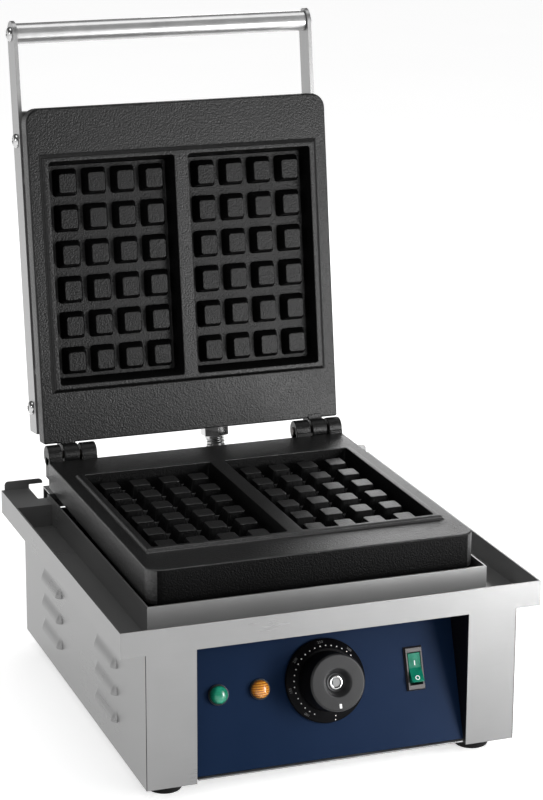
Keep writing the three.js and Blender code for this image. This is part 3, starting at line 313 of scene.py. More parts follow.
def rocker_plastic():
    """Tinted plastic of the rocker, deep in colour with a soft gloss."""
    f = Finish("rocker_green", Transmission_Weight=0.15, IOR=1.48, Specular_IOR_Level=0.15)
    cloud = f.noise(150, 3, 0.5)
    ridge = (f.along(f.place(), UP_PANEL) * (2 * math.pi / ROCKER_RIDGE)).math("SINE")
    f.feed(
        Base_Color=f.blend(f.spread(cloud, 0, 1), (0.001, 0.10, 0.062, 1), (0.004, 0.19, 0.115, 1)),
        Roughness=f.spread(cloud, 0.16, 0.26),
        Normal=f.bump(ridge, 0.05, 0.0002),
    )
    return f.material


def print_ink(name, dark, light):
    """Printed or filled mark, a little worn."""
    f = Finish(name)
    wear = f.noise(700, 3, 0.6)
    f.feed(
        Base_Color=f.blend(f.spread(wear, 0, 1), grey(dark), grey(light)),
        Roughness=f.spread(wear, 0.45, 0.6),
    )
    return f.material


def heated_metal():
    """Steel that heat has stained dark and slightly blue."""
    f = Finish("heat_stained_steel", Metallic=0.9)
    cloud = f.noise(38, 4, 0.6)
    fine = f.noise(600, 2, 0.6)
    f.feed(
        Base_Color=f.blend(f.spread(cloud, 0, 1), (0.06, 0.055, 0.055, 1), (0.15, 0.13, 0.12, 1)),
        Roughness=f.spread(cloud * 0.5 + fine * 0.5, 0.38, 0.6),
        Normal=f.bump(fine, 0.12, 0.0002),
    )
    return f.material


def fired_ceramic():
    """Off-white fired clay of the terminal block."""
    f = Finish("fired_ceramic")
    speck = f.noise(500, 3, 0.6)
    f.feed(
        Base_Color=f.blend(f.spread(speck, 0, 1), (0.60, 0.56, 0.48, 1), (0.74, 0.71, 0.64, 1)),
        Roughness=f.spread(speck, 0.5, 0.7),
        Normal=f.bump(speck, 0.15, 0.0003),
    )
    return f.material


STEEL = satin_steel("satin_steel", 0.225, 0.26, 0.28)
# A lighter copy of the satin steel, a painted highlight on the collar's front
COLLAR_PAINTED_LIGHT_STEEL = satin_steel("collar_steel_painted_light", 0.44, 0.5, 0.34)
COVER_STEEL = satin_steel("arm_and_cover_steel", 0.33, 0.385, 0.30)
CHROME = polished("polished_chrome", 0.58, 0.06)
HANDLE_CHROME = polished("handle_chrome", 0.55, 0.17, 0.65)
HOSE_STEEL = polished("hose_metal", 0.34, 0.20)
# One iron in four copies whose sheen paints light and shade: raised on the lower plate, a painted sheen,
# lowered on the lid, and lower still on the lid's pockets and on steep faces, a painted shade
IRON = seasoned_iron("seasoned_iron", 0.9)
LID_IRON = seasoned_iron("seasoned_lid_iron", 0.33)
IRON_POCKET_PAINTED_SHADE = seasoned_iron("seasoned_iron_pocket_painted_shade", 0.2)
IRON_PAINTED_SHADE = seasoned_iron("seasoned_iron_painted_shade", 0.05)
PANEL_BLUE = coated_panel()
DIAL_BLACK = moulded(
    "dial_black", (0.0015, 0.0015, 0.002, 1), (0.003, 0.003, 0.0035, 1), 0.42, sheen=0.05,
)
KNOB_GREY = moulded(
    "knob_satin", (0.009, 0.009, 0.0095, 1), (0.016, 0.016, 0.017, 1), 0.36, 2600, 0.12, 0.3,
)
LAMP_BLACK = moulded("lamp_ring_black", (0.006, 0.006, 0.007, 1), (0.012, 0.012, 0.013, 1), 0.35)
BEZEL = moulded("switch_bezel", (0.016, 0.013, 0.012, 1), (0.028, 0.023, 0.021, 1), 0.42)
# Black put where the steel lies in shade, a painted shade: the pillars' returns, the rails and the posts. It
# also draws the dark seam at each pillar's corner
PAINTED_SHADE_AND_SEAM = moulded(
    "painted_shade_and_seam_steel", (0.002, 0.002, 0.003, 1), (0.004, 0.004, 0.006, 1), 0.5, sheen=0.1,
)
GLAND_BLACK = moulded("gland_black", (0.010, 0.010, 0.011, 1), (0.020, 0.020, 0.021, 1), 0.45)
RUBBER = moulded(
    "foot_rubber", (0.003, 0.003, 0.003, 1), (0.007, 0.007, 0.007, 1), 0.55, 900, 0.3, 0.12,
)
GREEN_LENS = lens_glass("green_lens", (0.001, 0.17, 0.09, 1), (0.02, 0.42, 0.25, 1), 0.15)
AMBER_LENS = lens_glass("amber_lens", (0.36, 0.08, 0.002, 1), (0.98, 0.44, 0.05, 1), 0.85)
ROCKER_GREEN = rocker_plastic()
WHITE_INK = print_ink("white_ink", 0.70, 0.86)
DIM_INK = print_ink("dim_ink", 0.075, 0.13)
HEATED = heated_metal()
CERAMIC = fired_ceramic()


# Shapes
SOLID_SHARP, SHEET_SHARP = math.radians(38), math.radians(50)


def to_piece(bm, name, *finishes):
    """Turns a shape into a piece in metres, with its materials. The shape is used up."""
    bmesh.ops.scale(bm, vec=(MM, MM, MM), verts=bm.verts[:])
    mesh = bpy.data.meshes.new(name)
    bm.to_mesh(mesh)
    bm.free()
    mesh.shade_smooth()
    for finish in finishes:
        mesh.materials.append(finish)
    piece = bpy.data.objects.new(name, mesh)
    scene.collection.objects.link(piece)
    return piece


def even_shading(piece):
    """Keeps large faces flat in shade beside their rounded edges."""
    weighted = piece.modifiers.new("even_shading", "WEIGHTED_NORMAL")
    weighted.keep_sharp = True


def add_rounding(piece, angle, radius, segments):
    """Rounds the edges that turn by more than an angle, by a modifier."""
    rounding = piece.modifiers.new("rounding", "BEVEL")
    rounding.limit_method = "ANGLE"
    rounding.angle_limit = angle
    rounding.width = radius * MM
    rounding.segments = segments


def keep(bm, name, node, finish, at=None, replace=True):
    """Finishes a shape: placed, facing out, on the node's body and in the node's stead."""
    if at is not None:
        bmesh.ops.transform(bm, matrix=at, verts=bm.verts[:])
    bmesh.ops.recalc_face_normals(bm, faces=bm.faces[:])
    piece = to_piece(bm, name, finish)
    piece.data.set_sharp_from_angle(angle=SOLID_SHARP)
    even_shading(piece)
    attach(piece, body_of[node])
    if replace:
        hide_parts(node)
    return piece


def round_edges(bm, offset, segments=3, angle=30, where=None):
    """Rounds the edges that turn by more than an angle, in degrees, and that pass a test."""
    limit = math.radians(angle)
    edges = [
        e for e in bm.edges
        if len(e.link_faces) == 2 and e.calc_face_angle(0) > limit and (where is None or where(e))
    ]
    bmesh.ops.bevel(
        bm, geom=edges, offset=offset, offset_type="OFFSET", segments=segments,
        profile=0.5, affect="EDGES", clamp_overlap=True, material=-1,
    )


def turned(profile, closed=False, steps=64):
    """A shape turned about Z from pairs of radius and height."""
    bm = bmesh.new()
    line = [bm.verts.new((r, 0, h)) for r, h in profile]
    pairs = list(zip(line, line[1:]))
    if closed:
        pairs.append((line[-1], line[0]))
    edges = [bm.edges.new(pair) for pair in pairs]
    bmesh.ops.spin(
        bm, geom=line + edges, cent=(0, 0, 0), axis=(0, 0, 1),
        angle=2 * math.pi, steps=steps, use_merge=True,
    )
    bmesh.ops.remove_doubles(bm, verts=bm.verts[:], dist=0.0005)
    bmesh.ops.recalc_face_normals(bm, faces=bm.faces[:])
    return bm


def on_side(side, reach):
    """A span outwards from the middle, laid on the left (-1) or on the right (1)."""
    return sorted(side * x for x in reach)


def add_block(bm, x, y, z):
    """Adds a block between two corners."""
    middle = Vector(((x[0] + x[1]) / 2, (y[0] + y[1]) / 2, (z[0] + z[1]) / 2))
    size = Matrix.Diagonal((x[1] - x[0], y[1] - y[0], z[1] - z[0], 1))
    bmesh.ops.create_cube(bm, size=1, matrix=Matrix.Translation(middle) @ size)


def add_rod(bm, radius, span):
    """Adds a round rod along X, between two places on that axis."""
    bmesh.ops.create_cone(
        bm, cap_ends=True, segments=48, radius1=radius, radius2=radius, depth=span[1] - span[0],
        matrix=ALONG_X @ Matrix.Translation((0, 0, (span[0] + span[1]) / 2)),
    )


def add_mesh(bm, other, at=None):
    """Adds another shape, which is used up."""
    if at is not None:
        bmesh.ops.transform(other, matrix=at, verts=other.verts[:])
    carrier = bpy.data.meshes.new("carrier")
    other.to_mesh(carrier)
    other.free()
    bm.from_mesh(carrier)
    bpy.data.meshes.remove(carrier)


def softened(node, name, finish, radius, segments=2, angle=28):
    """A node's own sheet or block shape, with its bends and edges rounded."""
    bm = bmesh.new()
    bm.from_mesh(nodes[node].data)
    bmesh.ops.scale(bm, vec=(1 / MM, 1 / MM, 1 / MM), verts=bm.verts[:])
    bmesh.ops.remove_doubles(bm, verts=bm.verts[:], dist=0.002)
    bmesh.ops.dissolve_limit(bm, angle_limit=math.radians(1), verts=bm.verts[:], edges=bm.edges[:])
    piece = keep(bm, name, node, finish)
    add_rounding(piece, math.radians(angle), radius, segments)
    piece.modifiers.move(len(piece.modifiers) - 1, 0)
    return piece


def recoat(finish, *names):
    """Gives CAD nodes that are shown as they are a finish."""
    for name in names:
        for place in nodes[name].material_slots:
            place.material = finish


# Cast plates: the slab, the raised field on it, and in the field two pockets with their studs
PLATE_HALF, PLATE_FAR = 120.5, 264.5
PLATE_CORNER = 11
SLAB_TOP, SLAB_DEPTH = -3, 15
SKIRT_WIDTH, SKIRT_FRONT_DROP = 6, 4.5
FIELD_HALF, FIELD_Y = 110.9, (-228.9, -48.1)
FIELD_SLOPE, FIELD_RISE = 1.1, 2.5
POCKET_X = (5.5, 105.5)
POCKET_Y = (-224, -53)
POCKET_SLOPE, POCKET_DEPTH = 3.6, 14.6
STUD_ROWS, STUD_COLUMNS = 6, 4
STUD_PITCH = (23, 27.4)
STUD_HALF = (9.5, 10.2)
STUD_SLOPE, STUD_HEIGHT = 2.9, 10

# Knuckles: the spans of the eyes from the middle outwards, and the Y and Z of the lug under each
KNUCKLE_RADIUS = 8
LOWER_EYES, LOWER_LUG = ((81.8, 93.8), (109.4, 120.2)), ((-9, 3), (-17.8, 0))
UPPER_EYES, UPPER_LUG = ((95.6, 107.6),), ((-12, 0), (-15, -2.7))

# The seat that joins the lower eyes, and the wall behind it, each by its X, Y and Z
SEAT = ((92.6, 110.6), (-13, 14.5), (-17.9, -13))
SEAT_WALL = ((95.6, 107.6), (9.5, 14.5), (-17.9, -2.5))

# A plate's further materials: its front and the pockets' steep faces, the rest of the pockets, the knuckles.
# The steep faces, and on the lid the pockets, take irons with less sheen, a painted shade
STEEP, SUNK, KNUCKLE = 1, 2, 3


def cut_faces(bm, faces, point, normal):
    """Cuts the faces by a plane and returns the faces on both sides of it."""
    around = list({g for f in faces for g in (*f.verts, *f.edges)}) + list(faces)
    made = bmesh.ops.bisect_plane(bm, geom=around, dist=1e-5, plane_co=point, plane_no=normal)
    return [g for g in made["geom"] if isinstance(g, bmesh.types.BMFace)]


def faces_within(faces, x, y):
    """The faces whose middle lies within a rectangle, seen from above."""
    found = []
    for face in faces:
        middle = face.calc_center_median()
        if x[0] < middle.x < x[1] and y[0] < middle.y < y[1]:
            found.append(face)
    return found


def sink_pocket(bm, faces, side):
    """One waffle pocket in the field, with its rows of studs."""
    x = on_side(side, POCKET_X)
    pocket = faces_within(faces, x, POCKET_Y)
    bmesh.ops.inset_individual(
        bm, faces=pocket, thickness=POCKET_SLOPE, depth=-POCKET_DEPTH, use_even_offset=True,
    )
    columns = [
        sum(x) / 2 + (column - (STUD_COLUMNS - 1) / 2) * STUD_PITCH[0] for column in range(STUD_COLUMNS)
    ]
    rows = [sum(POCKET_Y) / 2 + (row - (STUD_ROWS - 1) / 2) * STUD_PITCH[1] for row in range(STUD_ROWS)]
    floor = pocket
    for centre in columns:
        for edge in (-STUD_HALF[0], STUD_HALF[0]):
            floor = cut_faces(bm, floor, (centre + edge, 0, 0), (1, 0, 0))
    for centre in rows:
        for edge in (-STUD_HALF[1], STUD_HALF[1]):
            floor = cut_faces(bm, floor, (0, centre + edge, 0), (0, 1, 0))
    studs = []
    for cx in columns:
        for cy in rows:
            studs += faces_within(floor, (cx - 1, cx + 1), (cy - 1, cy + 1))
    bmesh.ops.inset_individual(
        bm, faces=studs, thickness=STUD_SLOPE, depth=STUD_HEIGHT, use_even_offset=True,
    )


def over_pockets(place):
    """Whether a place lies over the two pockets, or within half a millimetre of them."""
    return abs(place.x) < POCKET_X[1] + 0.5 and POCKET_Y[0] - 0.5 < place.y < POCKET_Y[1] + 0.5


def in_pocket(edge):
    """Whether an edge belongs to the pockets and their studs."""
    return all(over_pockets(v.co) for v in edge.verts)


def casting(rear, skirt):
    """The slab with its raised field, pockets and studs, face up, the hinge at the origin."""
    bm = bmesh.new()
    made = bmesh.ops.create_grid(bm, x_segments=1, y_segments=1, size=1)
    length = PLATE_FAR - rear
    bmesh.ops.scale(bm, vec=(PLATE_HALF, length / 2, 1), verts=made["verts"])
    bmesh.ops.translate(bm, vec=(0, -rear - length / 2, SLAB_TOP), verts=made["verts"])
    corners = [v for v in bm.verts if v.co.y < -PLATE_FAR / 2]
    bmesh.ops.bevel(
        bm, geom=corners, offset=PLATE_CORNER, segments=7, profile=0.5, affect="VERTICES", material=-1,
    )
    made = bmesh.ops.extrude_face_region(bm, geom=bm.faces[:])
    lowered = [g for g in made["geom"] if isinstance(g, bmesh.types.BMVert)]
    bmesh.ops.translate(bm, vec=(0, 0, -SLAB_DEPTH - skirt), verts=lowered)
    bmesh.ops.recalc_face_normals(bm, faces=bm.faces[:])
    if skirt:
        under = [f for f in bm.faces if f.normal.z < -0.9]
        bmesh.ops.inset_individual(
            bm, faces=under, thickness=SKIRT_WIDTH, depth=0, use_even_offset=True,
        )
        bmesh.ops.inset_individual(bm, faces=under, thickness=0.4, depth=-skirt, use_even_offset=True)
        for vert in bm.verts:
            if vert.co.z < SLAB_TOP - SLAB_DEPTH - 2 and vert.co.y < 30 - PLATE_FAR:
                vert.co.z -= SKIRT_FRONT_DROP
    top = [f for f in bm.faces if f.normal.z > 0.9]
    for x in (-FIELD_HALF, FIELD_HALF):
        top = cut_faces(bm, top, (x, 0, 0), (1, 0, 0))
    for y in FIELD_Y:
        top = cut_faces(bm, top, (0, y, 0), (0, 1, 0))
    field = faces_within(top, (-FIELD_HALF, FIELD_HALF), FIELD_Y)
    bmesh.ops.inset_individual(
        bm, faces=field, thickness=FIELD_SLOPE, depth=FIELD_RISE, use_even_offset=True,
    )
    for side in (-1, 1):
        for x in POCKET_X:
            field = cut_faces(bm, field, (side * x, 0, 0), (1, 0, 0))
    for y in POCKET_Y:
        field = cut_faces(bm, field, (0, y, 0), (0, 1, 0))
    for side in (-1, 1):
        sink_pocket(bm, field, side)
    round_edges(bm, 1.9, 3, 20, lambda e: abs(e.verts[0].co.z - e.verts[1].co.z) > 9 and in_pocket(e))
    round_edges(bm, 0.9, 3, 20, in_pocket)
    round_edges(bm, 1.25, 3, 20, lambda e: not in_pocket(e))
    bm.normal_update()
    # Steep faces and pocket faces are marked for irons of their own; those with less sheen are a painted
    # shade
    for face in bm.faces:
        at = face.calc_center_median()
        steep = abs(face.normal.z) < 0.5
        sunk = over_pockets(at) and at.z < -1
        if steep and (sunk or at.y < 1 - PLATE_FAR):
            face.material_index = STEEP
        elif sunk:
            face.material_index = SUNK
    return bm


def add_knuckles(bm, eyes, lug_y, lug_z):
    """Hinge eyes on both sides of the middle, each on its lug."""
    for reach in eyes:
        for side in (-1, 1):
            span = on_side(side, reach)
            eye = bmesh.new()
            add_rod(eye, KNUCKLE_RADIUS, span)
            round_edges(eye, 0.7, 3, 40)
            lug = bmesh.new()
            add_block(lug, span, lug_y, lug_z)
            round_edges(lug, 0.9, 3)
            for shape in (eye, lug):
                for face in shape.faces:
                    face.material_index = KNUCKLE
                add_mesh(bm, shape)


def cast_plates():
    """Both plates: the lower with its knuckles' seats, the upper turned over onto the lid."""
    lower = casting(rear=6.2, skirt=5.8)
    add_knuckles(lower, LOWER_EYES, *LOWER_LUG)
    for side in (-1, 1):
        seat = bmesh.new()
        for x, y, z in (SEAT, SEAT_WALL):
            add_block(seat, on_side(side, x), y, z)
        round_edges(seat, 0.7, 2)
        add_mesh(lower, seat)
    lower = keep(lower, "lower_casting", "lower_plate", IRON, LOWER)
    upper = casting(rear=8.3, skirt=0)
    add_knuckles(upper, UPPER_EYES, *UPPER_LUG)
    face_down = LID @ Matrix.Diagonal((1, 1, -1, 1))
    upper = keep(upper, "upper_casting", "upper_plate", LID_IRON, face_down)
    for piece, sunk in ((lower, IRON), (upper, IRON_POCKET_PAINTED_SHADE)):
        for finish in (IRON_PAINTED_SHADE, sunk, LID_IRON):
            piece.data.materials.append(finish)


# Sheet metal of the body: its box, the front pillar with its return, and the flanges
BODY_HALF = 135
BODY_FRONT, BODY_REAR = -191.618, 124.882
BODY_LOW, BODY_HIGH = 11, 108.7
SHEET = 1.2
PILLAR_EDGE, PILLAR_RETURN = 99, 38
CORNER_STRIP = 0.5
REAR_FLANGE, TOP_FLANGE, BOTTOM_FLANGE = 13, 10, 36
REAR_TOP, REAR_RAISED = 105, 1.6

# Louvres: the middles of two rows of three, and the size of one hood
LOUVRE_Y = (-98.6, 44.9)
LOUVRE_Z = (37.5, 57.5, 77.5)
LOUVRE_HALF, LOUVRE_END = 25, 5
LOUVRE_BELOW, LOUVRE_ABOVE, LOUVRE_RISE = 4.4, 5, 3.4


def flat_wall(bm):
    """The faces of the side's outer wall that are not pressed out."""
    return [f for f in bm.faces if all(abs(v.co.x - BODY_HALF) < 0.01 for v in f.verts)]


def louvre_faces(faces, y, low, high):
    """Those of the wall's faces that become one hood."""
    found = []
    for face in faces:
        at = face.calc_center_median()
        if abs(at.y - y) < LOUVRE_HALF and low < at.z < high:
            found.append(face)
    return found


def press_louvre(bm, y, z):
    """Presses one hood out of the wall: closed above and at both ends, open below."""
    low, high = z - LOUVRE_BELOW, z + LOUVRE_ABOVE
    middle_half = LOUVRE_HALF - LOUVRE_END
    wall = flat_wall(bm)
    for place in (y - LOUVRE_HALF, y - middle_half, y + middle_half, y + LOUVRE_HALF):
        wall = cut_faces(bm, wall, (0, place, 0), (0, 1, 0))
    for place in (low, high):
        wall = cut_faces(bm, wall, (0, 0, place), (0, 0, 1))
    around = {e for f in louvre_faces(wall, y, low, high) for e in f.edges}
    short = [e for e in around if abs(e.verts[0].co.y - e.verts[1].co.y) <= 30]
    bmesh.ops.subdivide_edges(bm, edges=short, cuts=7, use_grid_fill=True)
    hood = louvre_faces(flat_wall(bm), y, low, high)
    lip = [
        e for e in {e for f in hood for e in f.edges}
        if all(abs(v.co.z - low) < 0.01 and abs(v.co.y - y) < LOUVRE_HALF + 0.01 for v in e.verts)
    ]
    bmesh.ops.split_edges(bm, edges=lip)
    hood = louvre_faces(flat_wall(bm), y, low, high)
    for vert in {v for f in hood for v in f.verts}:
        rise = 0.5 + 0.5 * math.cos(min(1, (vert.co.z - low) / (high - low)) * math.pi)
        end = min(1, max(0, (abs(vert.co.y - y) - middle_half) / LOUVRE_END))
        vert.co.x += LOUVRE_RISE * rise ** 0.8 * max(0, math.cos(end * math.pi / 2)) ** 0.6


def side_panel(side):
    """A side, its front pillar, return and flanges, folded from one sheet."""
    bm = bmesh.new()
    line = [bm.verts.new((x, y, BODY_LOW)) for x, y in (
        (PILLAR_EDGE, BODY_FRONT + PILLAR_RETURN), (PILLAR_EDGE, BODY_FRONT),
        (BODY_HALF - CORNER_STRIP, BODY_FRONT), (BODY_HALF, BODY_FRONT),
        (BODY_HALF, BODY_REAR), (BODY_HALF - REAR_FLANGE, BODY_REAR),
    )]
    folds = [bm.edges.new(pair) for pair in zip(line, line[1:])]
    made = bmesh.ops.extrude_edge_only(bm, edges=folds)
    raised = [g for g in made["geom"] if isinstance(g, bmesh.types.BMVert)]
    bmesh.ops.translate(bm, vec=(0, 0, BODY_HIGH - BODY_LOW), verts=raised)
    for level, reach in ((BODY_HIGH, TOP_FLANGE), (BODY_LOW, BOTTOM_FLANGE)):
        rim = [
            e for e in bm.edges
            if all(abs(v.co.z - level) < 0.01 and abs(v.co.x - BODY_HALF) < 0.01 for v in e.verts)
        ]
        made = bmesh.ops.extrude_edge_only(bm, edges=rim)
        drawn = [g for g in made["geom"] if isinstance(g, bmesh.types.BMVert)]
        bmesh.ops.translate(bm, vec=(-reach, 0, 0), verts=drawn)
    bmesh.ops.remove_doubles(bm, verts=bm.verts[:], dist=0.001)
    bmesh.ops.recalc_face_normals(bm, faces=bm.faces[:])
    for y in LOUVRE_Y:
        for z in LOUVRE_Z:
            press_louvre(bm, y, z)
    outer = next(f for f in bm.faces if all(abs(v.co.y - BODY_FRONT) < 0.01 for v in f.verts))
    if outer.normal.y > 0:
        bmesh.ops.reverse_faces(bm, faces=bm.faces[:])
    if side < 0:
        bmesh.ops.scale(bm, vec=(-1, 1, 1), verts=bm.verts[:])
        bmesh.ops.reverse_faces(bm, faces=bm.faces[:])
    return bm


def keep_side(bm, name, node):
    """Finishes a side's folded sheet: its thickness inwards, then soft bends."""
    piece = to_piece(bm, name, STEEL, PAINTED_SHADE_AND_SEAM)
    piece.data.set_sharp_from_angle(angle=SHEET_SHARP)
    # The pillar's return is black, a painted shade, and the narrow strip at its outer corner is a dark seam
    strip = BODY_HALF - CORNER_STRIP / 2
    for face in piece.data.polygons:
        x = abs(face.center.x)
        if abs(x - PILLAR_EDGE * MM) < 0.0005 or abs(x - strip * MM) < 0.0002:
            face.material_index = 1
    wall = piece.modifiers.new("wall", "SOLIDIFY")
    wall.thickness = SHEET * MM
    wall.offset = -1
    wall.use_even_offset = True
    add_rounding(piece, SHEET_SHARP, 0.5, 2)
    even_shading(piece)
    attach(piece, body_of[node])
    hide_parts(node)


def body_sheets():
    """The sides, the drip tray, the rear, the bottom and the blue front."""
    for name, side in (("left", -1), ("right", 1)):
        keep_side(side_panel(side), f"{name}_side_sheet", f"{name}_side_panel")
    tray = softened("drip_tray", "folded_drip_tray", STEEL, 0.45)
    tray.data.materials.append(COLLAR_PAINTED_LIGHT_STEEL)
    # The front of the collar round the plate takes the lighter copy of the steel, a painted highlight
    for face in tray.data.polygons:
        if face.normal.y < -0.9 and -0.19 < face.center.y < -0.1 and face.center.z > 0.1:
            face.material_index = 1
    # The rear's upper edge reaches the tray, so that no light shows between them
    rear = softened("rear_panel", "rear_sheet", STEEL, 0.3)
    for vert in rear.data.vertices:
        if vert.co.z > REAR_TOP * MM:
            vert.co.z += REAR_RAISED * MM
    softened("bottom_plate", "bottom_sheet", STEEL, 0.3)
    softened("control_panel", "blue_front_sheet", PANEL_BLUE, 0.4)


# Feet
FOOT_X = 114.5
FOOT_Y = {"front": -166.1, "rear": 99.4}


def feet():
    """Four turned rubber feet, hollow below, each with a stud up through the bottom sheet."""
    for end, y in FOOT_Y.items():
        for name, side in (("left", -1), ("right", 1)):
            bm = turned([
                (0, 3), (4.6, 3), (4.6, 0), (11.4, 0), (12, 1.2), (12.6, 10.7), (3.4, 10.7),
                (3.4, 20), (0, 20),
            ], steps=56)
            round_edges(bm, 0.8, 3)
            node = f"foot_{end}_{name}"
            keep(bm, f"rubber_{node}", node, RUBBER, Matrix.Translation((side * FOOT_X, y, 0)))


# Screws: radius and height of the head, radius and length of the shank
DOME_SCREW = (5.5, 2.8, 2.5, 8.8)
SMALL_SCREW = (2.9, 1.9, 1.5, 4.8)

# Places in the lid's frame: the screws' heads, and the handle along the lid
ARM_SCREW_X, ARM_SCREW_Z = 120.8, 35
SPACER_SCREW_X, SPACER_SCREW_Z = 116.3, 22
HANDLE_Y = -321
ARM_SCREW_Y = {"low": -33, "high": -240, "handle": HANDLE_Y}
SPACER_SCREW_Y = {"low": -62, "high": -210}

# Screws of the rear panel, and hinge pins
REAR_SCREW_X, REAR_SCREW_Z = 128.5, (30.6, 89.4)
PIN_RADIUS, PIN_LENGTH, PIN_START = 3, 38.8, 80.6


def screw_shape(head, height, shank, length):
    """A dome screw with a six-sided socket, its head along Z."""
    bm = turned([
        (0, height * 0.35), (head * 0.36, height * 0.35), (head * 0.40, height),
        (head * 0.62, height * 0.94), (head * 0.84, height * 0.70), (head * 0.97, height * 0.34),
        (head, 0), (shank, 0), (shank, -length), (0, -length),
    ], steps=36)
    for vert in bm.verts:
        radius = math.hypot(vert.co.x, vert.co.y)
        if vert.co.z > 0 and 0.01 < radius < head * 0.37:
            turn = (math.atan2(vert.co.y, vert.co.x) % (math.pi / 3)) - math.pi / 6
            share = math.cos(math.pi / 6) / math.cos(turn)
            vert.co.x *= share
            vert.co.y *= share
    return bm


def screws():
    """The screws of the arms, the spacer and the rear panel, and the two hinge pins."""
    for name, side in (("left", -1), ("right", 1)):
        out = Matrix.Rotation(side * math.pi / 2, 4, "Y")
        for place, y in ARM_SCREW_Y.items():
            at = LID @ Matrix.Translation((side * ARM_SCREW_X, y, ARM_SCREW_Z)) @ out
            keep(screw_shape(*DOME_SCREW), f"dome_screw_{name}_{place}",
                 f"arm_screw_{name}_{place}", CHROME, at)
        for place, y in SPACER_SCREW_Y.items():
            at = LID @ Matrix.Translation((side * SPACER_SCREW_X, y, SPACER_SCREW_Z)) @ out
            keep(screw_shape(*SMALL_SCREW), f"small_screw_{name}_{place}",
                 f"spacer_screw_{name}_{place}", CHROME, at)
        for index, z in enumerate(REAR_SCREW_Z, 1):
            at = Matrix.Translation((side * REAR_SCREW_X, BODY_REAR + 0.3, z)) @ ALONG_Y
            keep(screw_shape(*SMALL_SCREW), f"panel_screw_{name}_{index}",
                 f"rear_screw_{name}_{index}", CHROME, at)
        pin = turned([(0, 0), (PIN_RADIUS, 0), (PIN_RADIUS, PIN_LENGTH), (0, PIN_LENGTH)], steps=40)
        round_edges(pin, 0.5, 3)
        at = LOWER @ Matrix.Translation((side * PIN_START, 0, 0)) @ out
        keep(pin, f"hinge_pin_{name}_turned", f"hinge_pin_{name}", HEATED, at)


# Handle tube: half its length, radius and bore, then where its solid ends begin and their tapped holes
HANDLE_HALF, HANDLE_RADIUS, HANDLE_BORE = 117.2, 8, 6.8
HANDLE_SOLID, HANDLE_TAPPED = 101.2, 2.7


def lid_pieces():
    """The lid's cover and spacer, its two flat-bar arms, and the handle tube between them."""
    softened("lid_cover", "lid_cover_sheet", COVER_STEEL, 0.48, 3)
    softened("lid_spacer_frame", "lid_spacer", HEATED, 0.6)
    for side in ("left", "right"):
        softened(f"{side}_arm", f"{side}_flat_bar", COVER_STEEL, 0.5, 3)
    tube = turned([
        (HANDLE_RADIUS, -HANDLE_HALF), (HANDLE_RADIUS, HANDLE_HALF), (HANDLE_TAPPED, HANDLE_HALF),
        (HANDLE_TAPPED, HANDLE_SOLID), (HANDLE_BORE, HANDLE_SOLID), (HANDLE_BORE, -HANDLE_SOLID),
        (HANDLE_TAPPED, -HANDLE_SOLID), (HANDLE_TAPPED, -HANDLE_HALF),
    ], closed=True, steps=96)
    round_edges(tube, 0.6, 3)
    at = LID @ Matrix.Translation((0, HANDLE_Y, ARM_SCREW_Z)) @ ALONG_X
    keep(tube, "chrome_handle", "handle_tube", HANDLE_CHROME, at)


# Controls. The dial's cone rises from its rim to its inner edge
DIAL_RIM, DIAL_EDGE = (29.2, 2.8), (22.5, 7.8)
CONE_SLOPE = 5 / 6.7
DOT_COUNT, DOT_FIRST, DOT_STEP, DOT_RADIUS = 22, 209, 9.62, 24.4
NUMBERS = ((218, "100"), (262, "150"), (308, "200"), (356, "250"), (44, "300"))


def cone_place(turn, radius, lift):
    """A place on the dial's cone, its Z standing off the cone. Turn is in degrees, clockwise from the top."""
    out = DIAL_RIM[1] + (DIAL_RIM[0] - radius) * CONE_SLOPE
    spot = Matrix.Rotation(-math.radians(turn), 4, "Z") @ Matrix.Translation((0, radius, out))
    tilt = Matrix.Rotation(-math.atan(CONE_SLOPE), 4, "X")
    return DIAL @ spot @ tilt @ Matrix.Translation((0, 0, lift))


def figures(text, size, depth):
    """Raised figures as a shape, centred on the origin."""
    curve = bpy.data.curves.new("figures", "FONT")
    curve.body = text
    curve.size = size
    curve.extrude = depth
    curve.align_x = "CENTER"
    curve.align_y = "CENTER"
    curve.resolution_u = 3
    carrier = bpy.data.objects.new("figures", curve)
    scene.collection.objects.link(carrier)
    mesh = bpy.data.meshes.new_from_object(carrier.evaluated_get(bpy.context.evaluated_depsgraph_get()))
    bm = bmesh.new()
    bm.from_mesh(mesh)
    bmesh.ops.remove_doubles(bm, verts=bm.verts[:], dist=0.001)
    bpy.data.objects.remove(carrier)
    bpy.data.meshes.remove(mesh)
    return bm


def add_dot(bm, radius, at):
    """Adds a printed dot, a low round cone."""
    dot = bmesh.new()
    bmesh.ops.create_cone(
        dot, cap_ends=True, segments=16, radius1=radius, radius2=radius * 0.85, depth=0.16,
    )
    add_mesh(bm, dot, at)


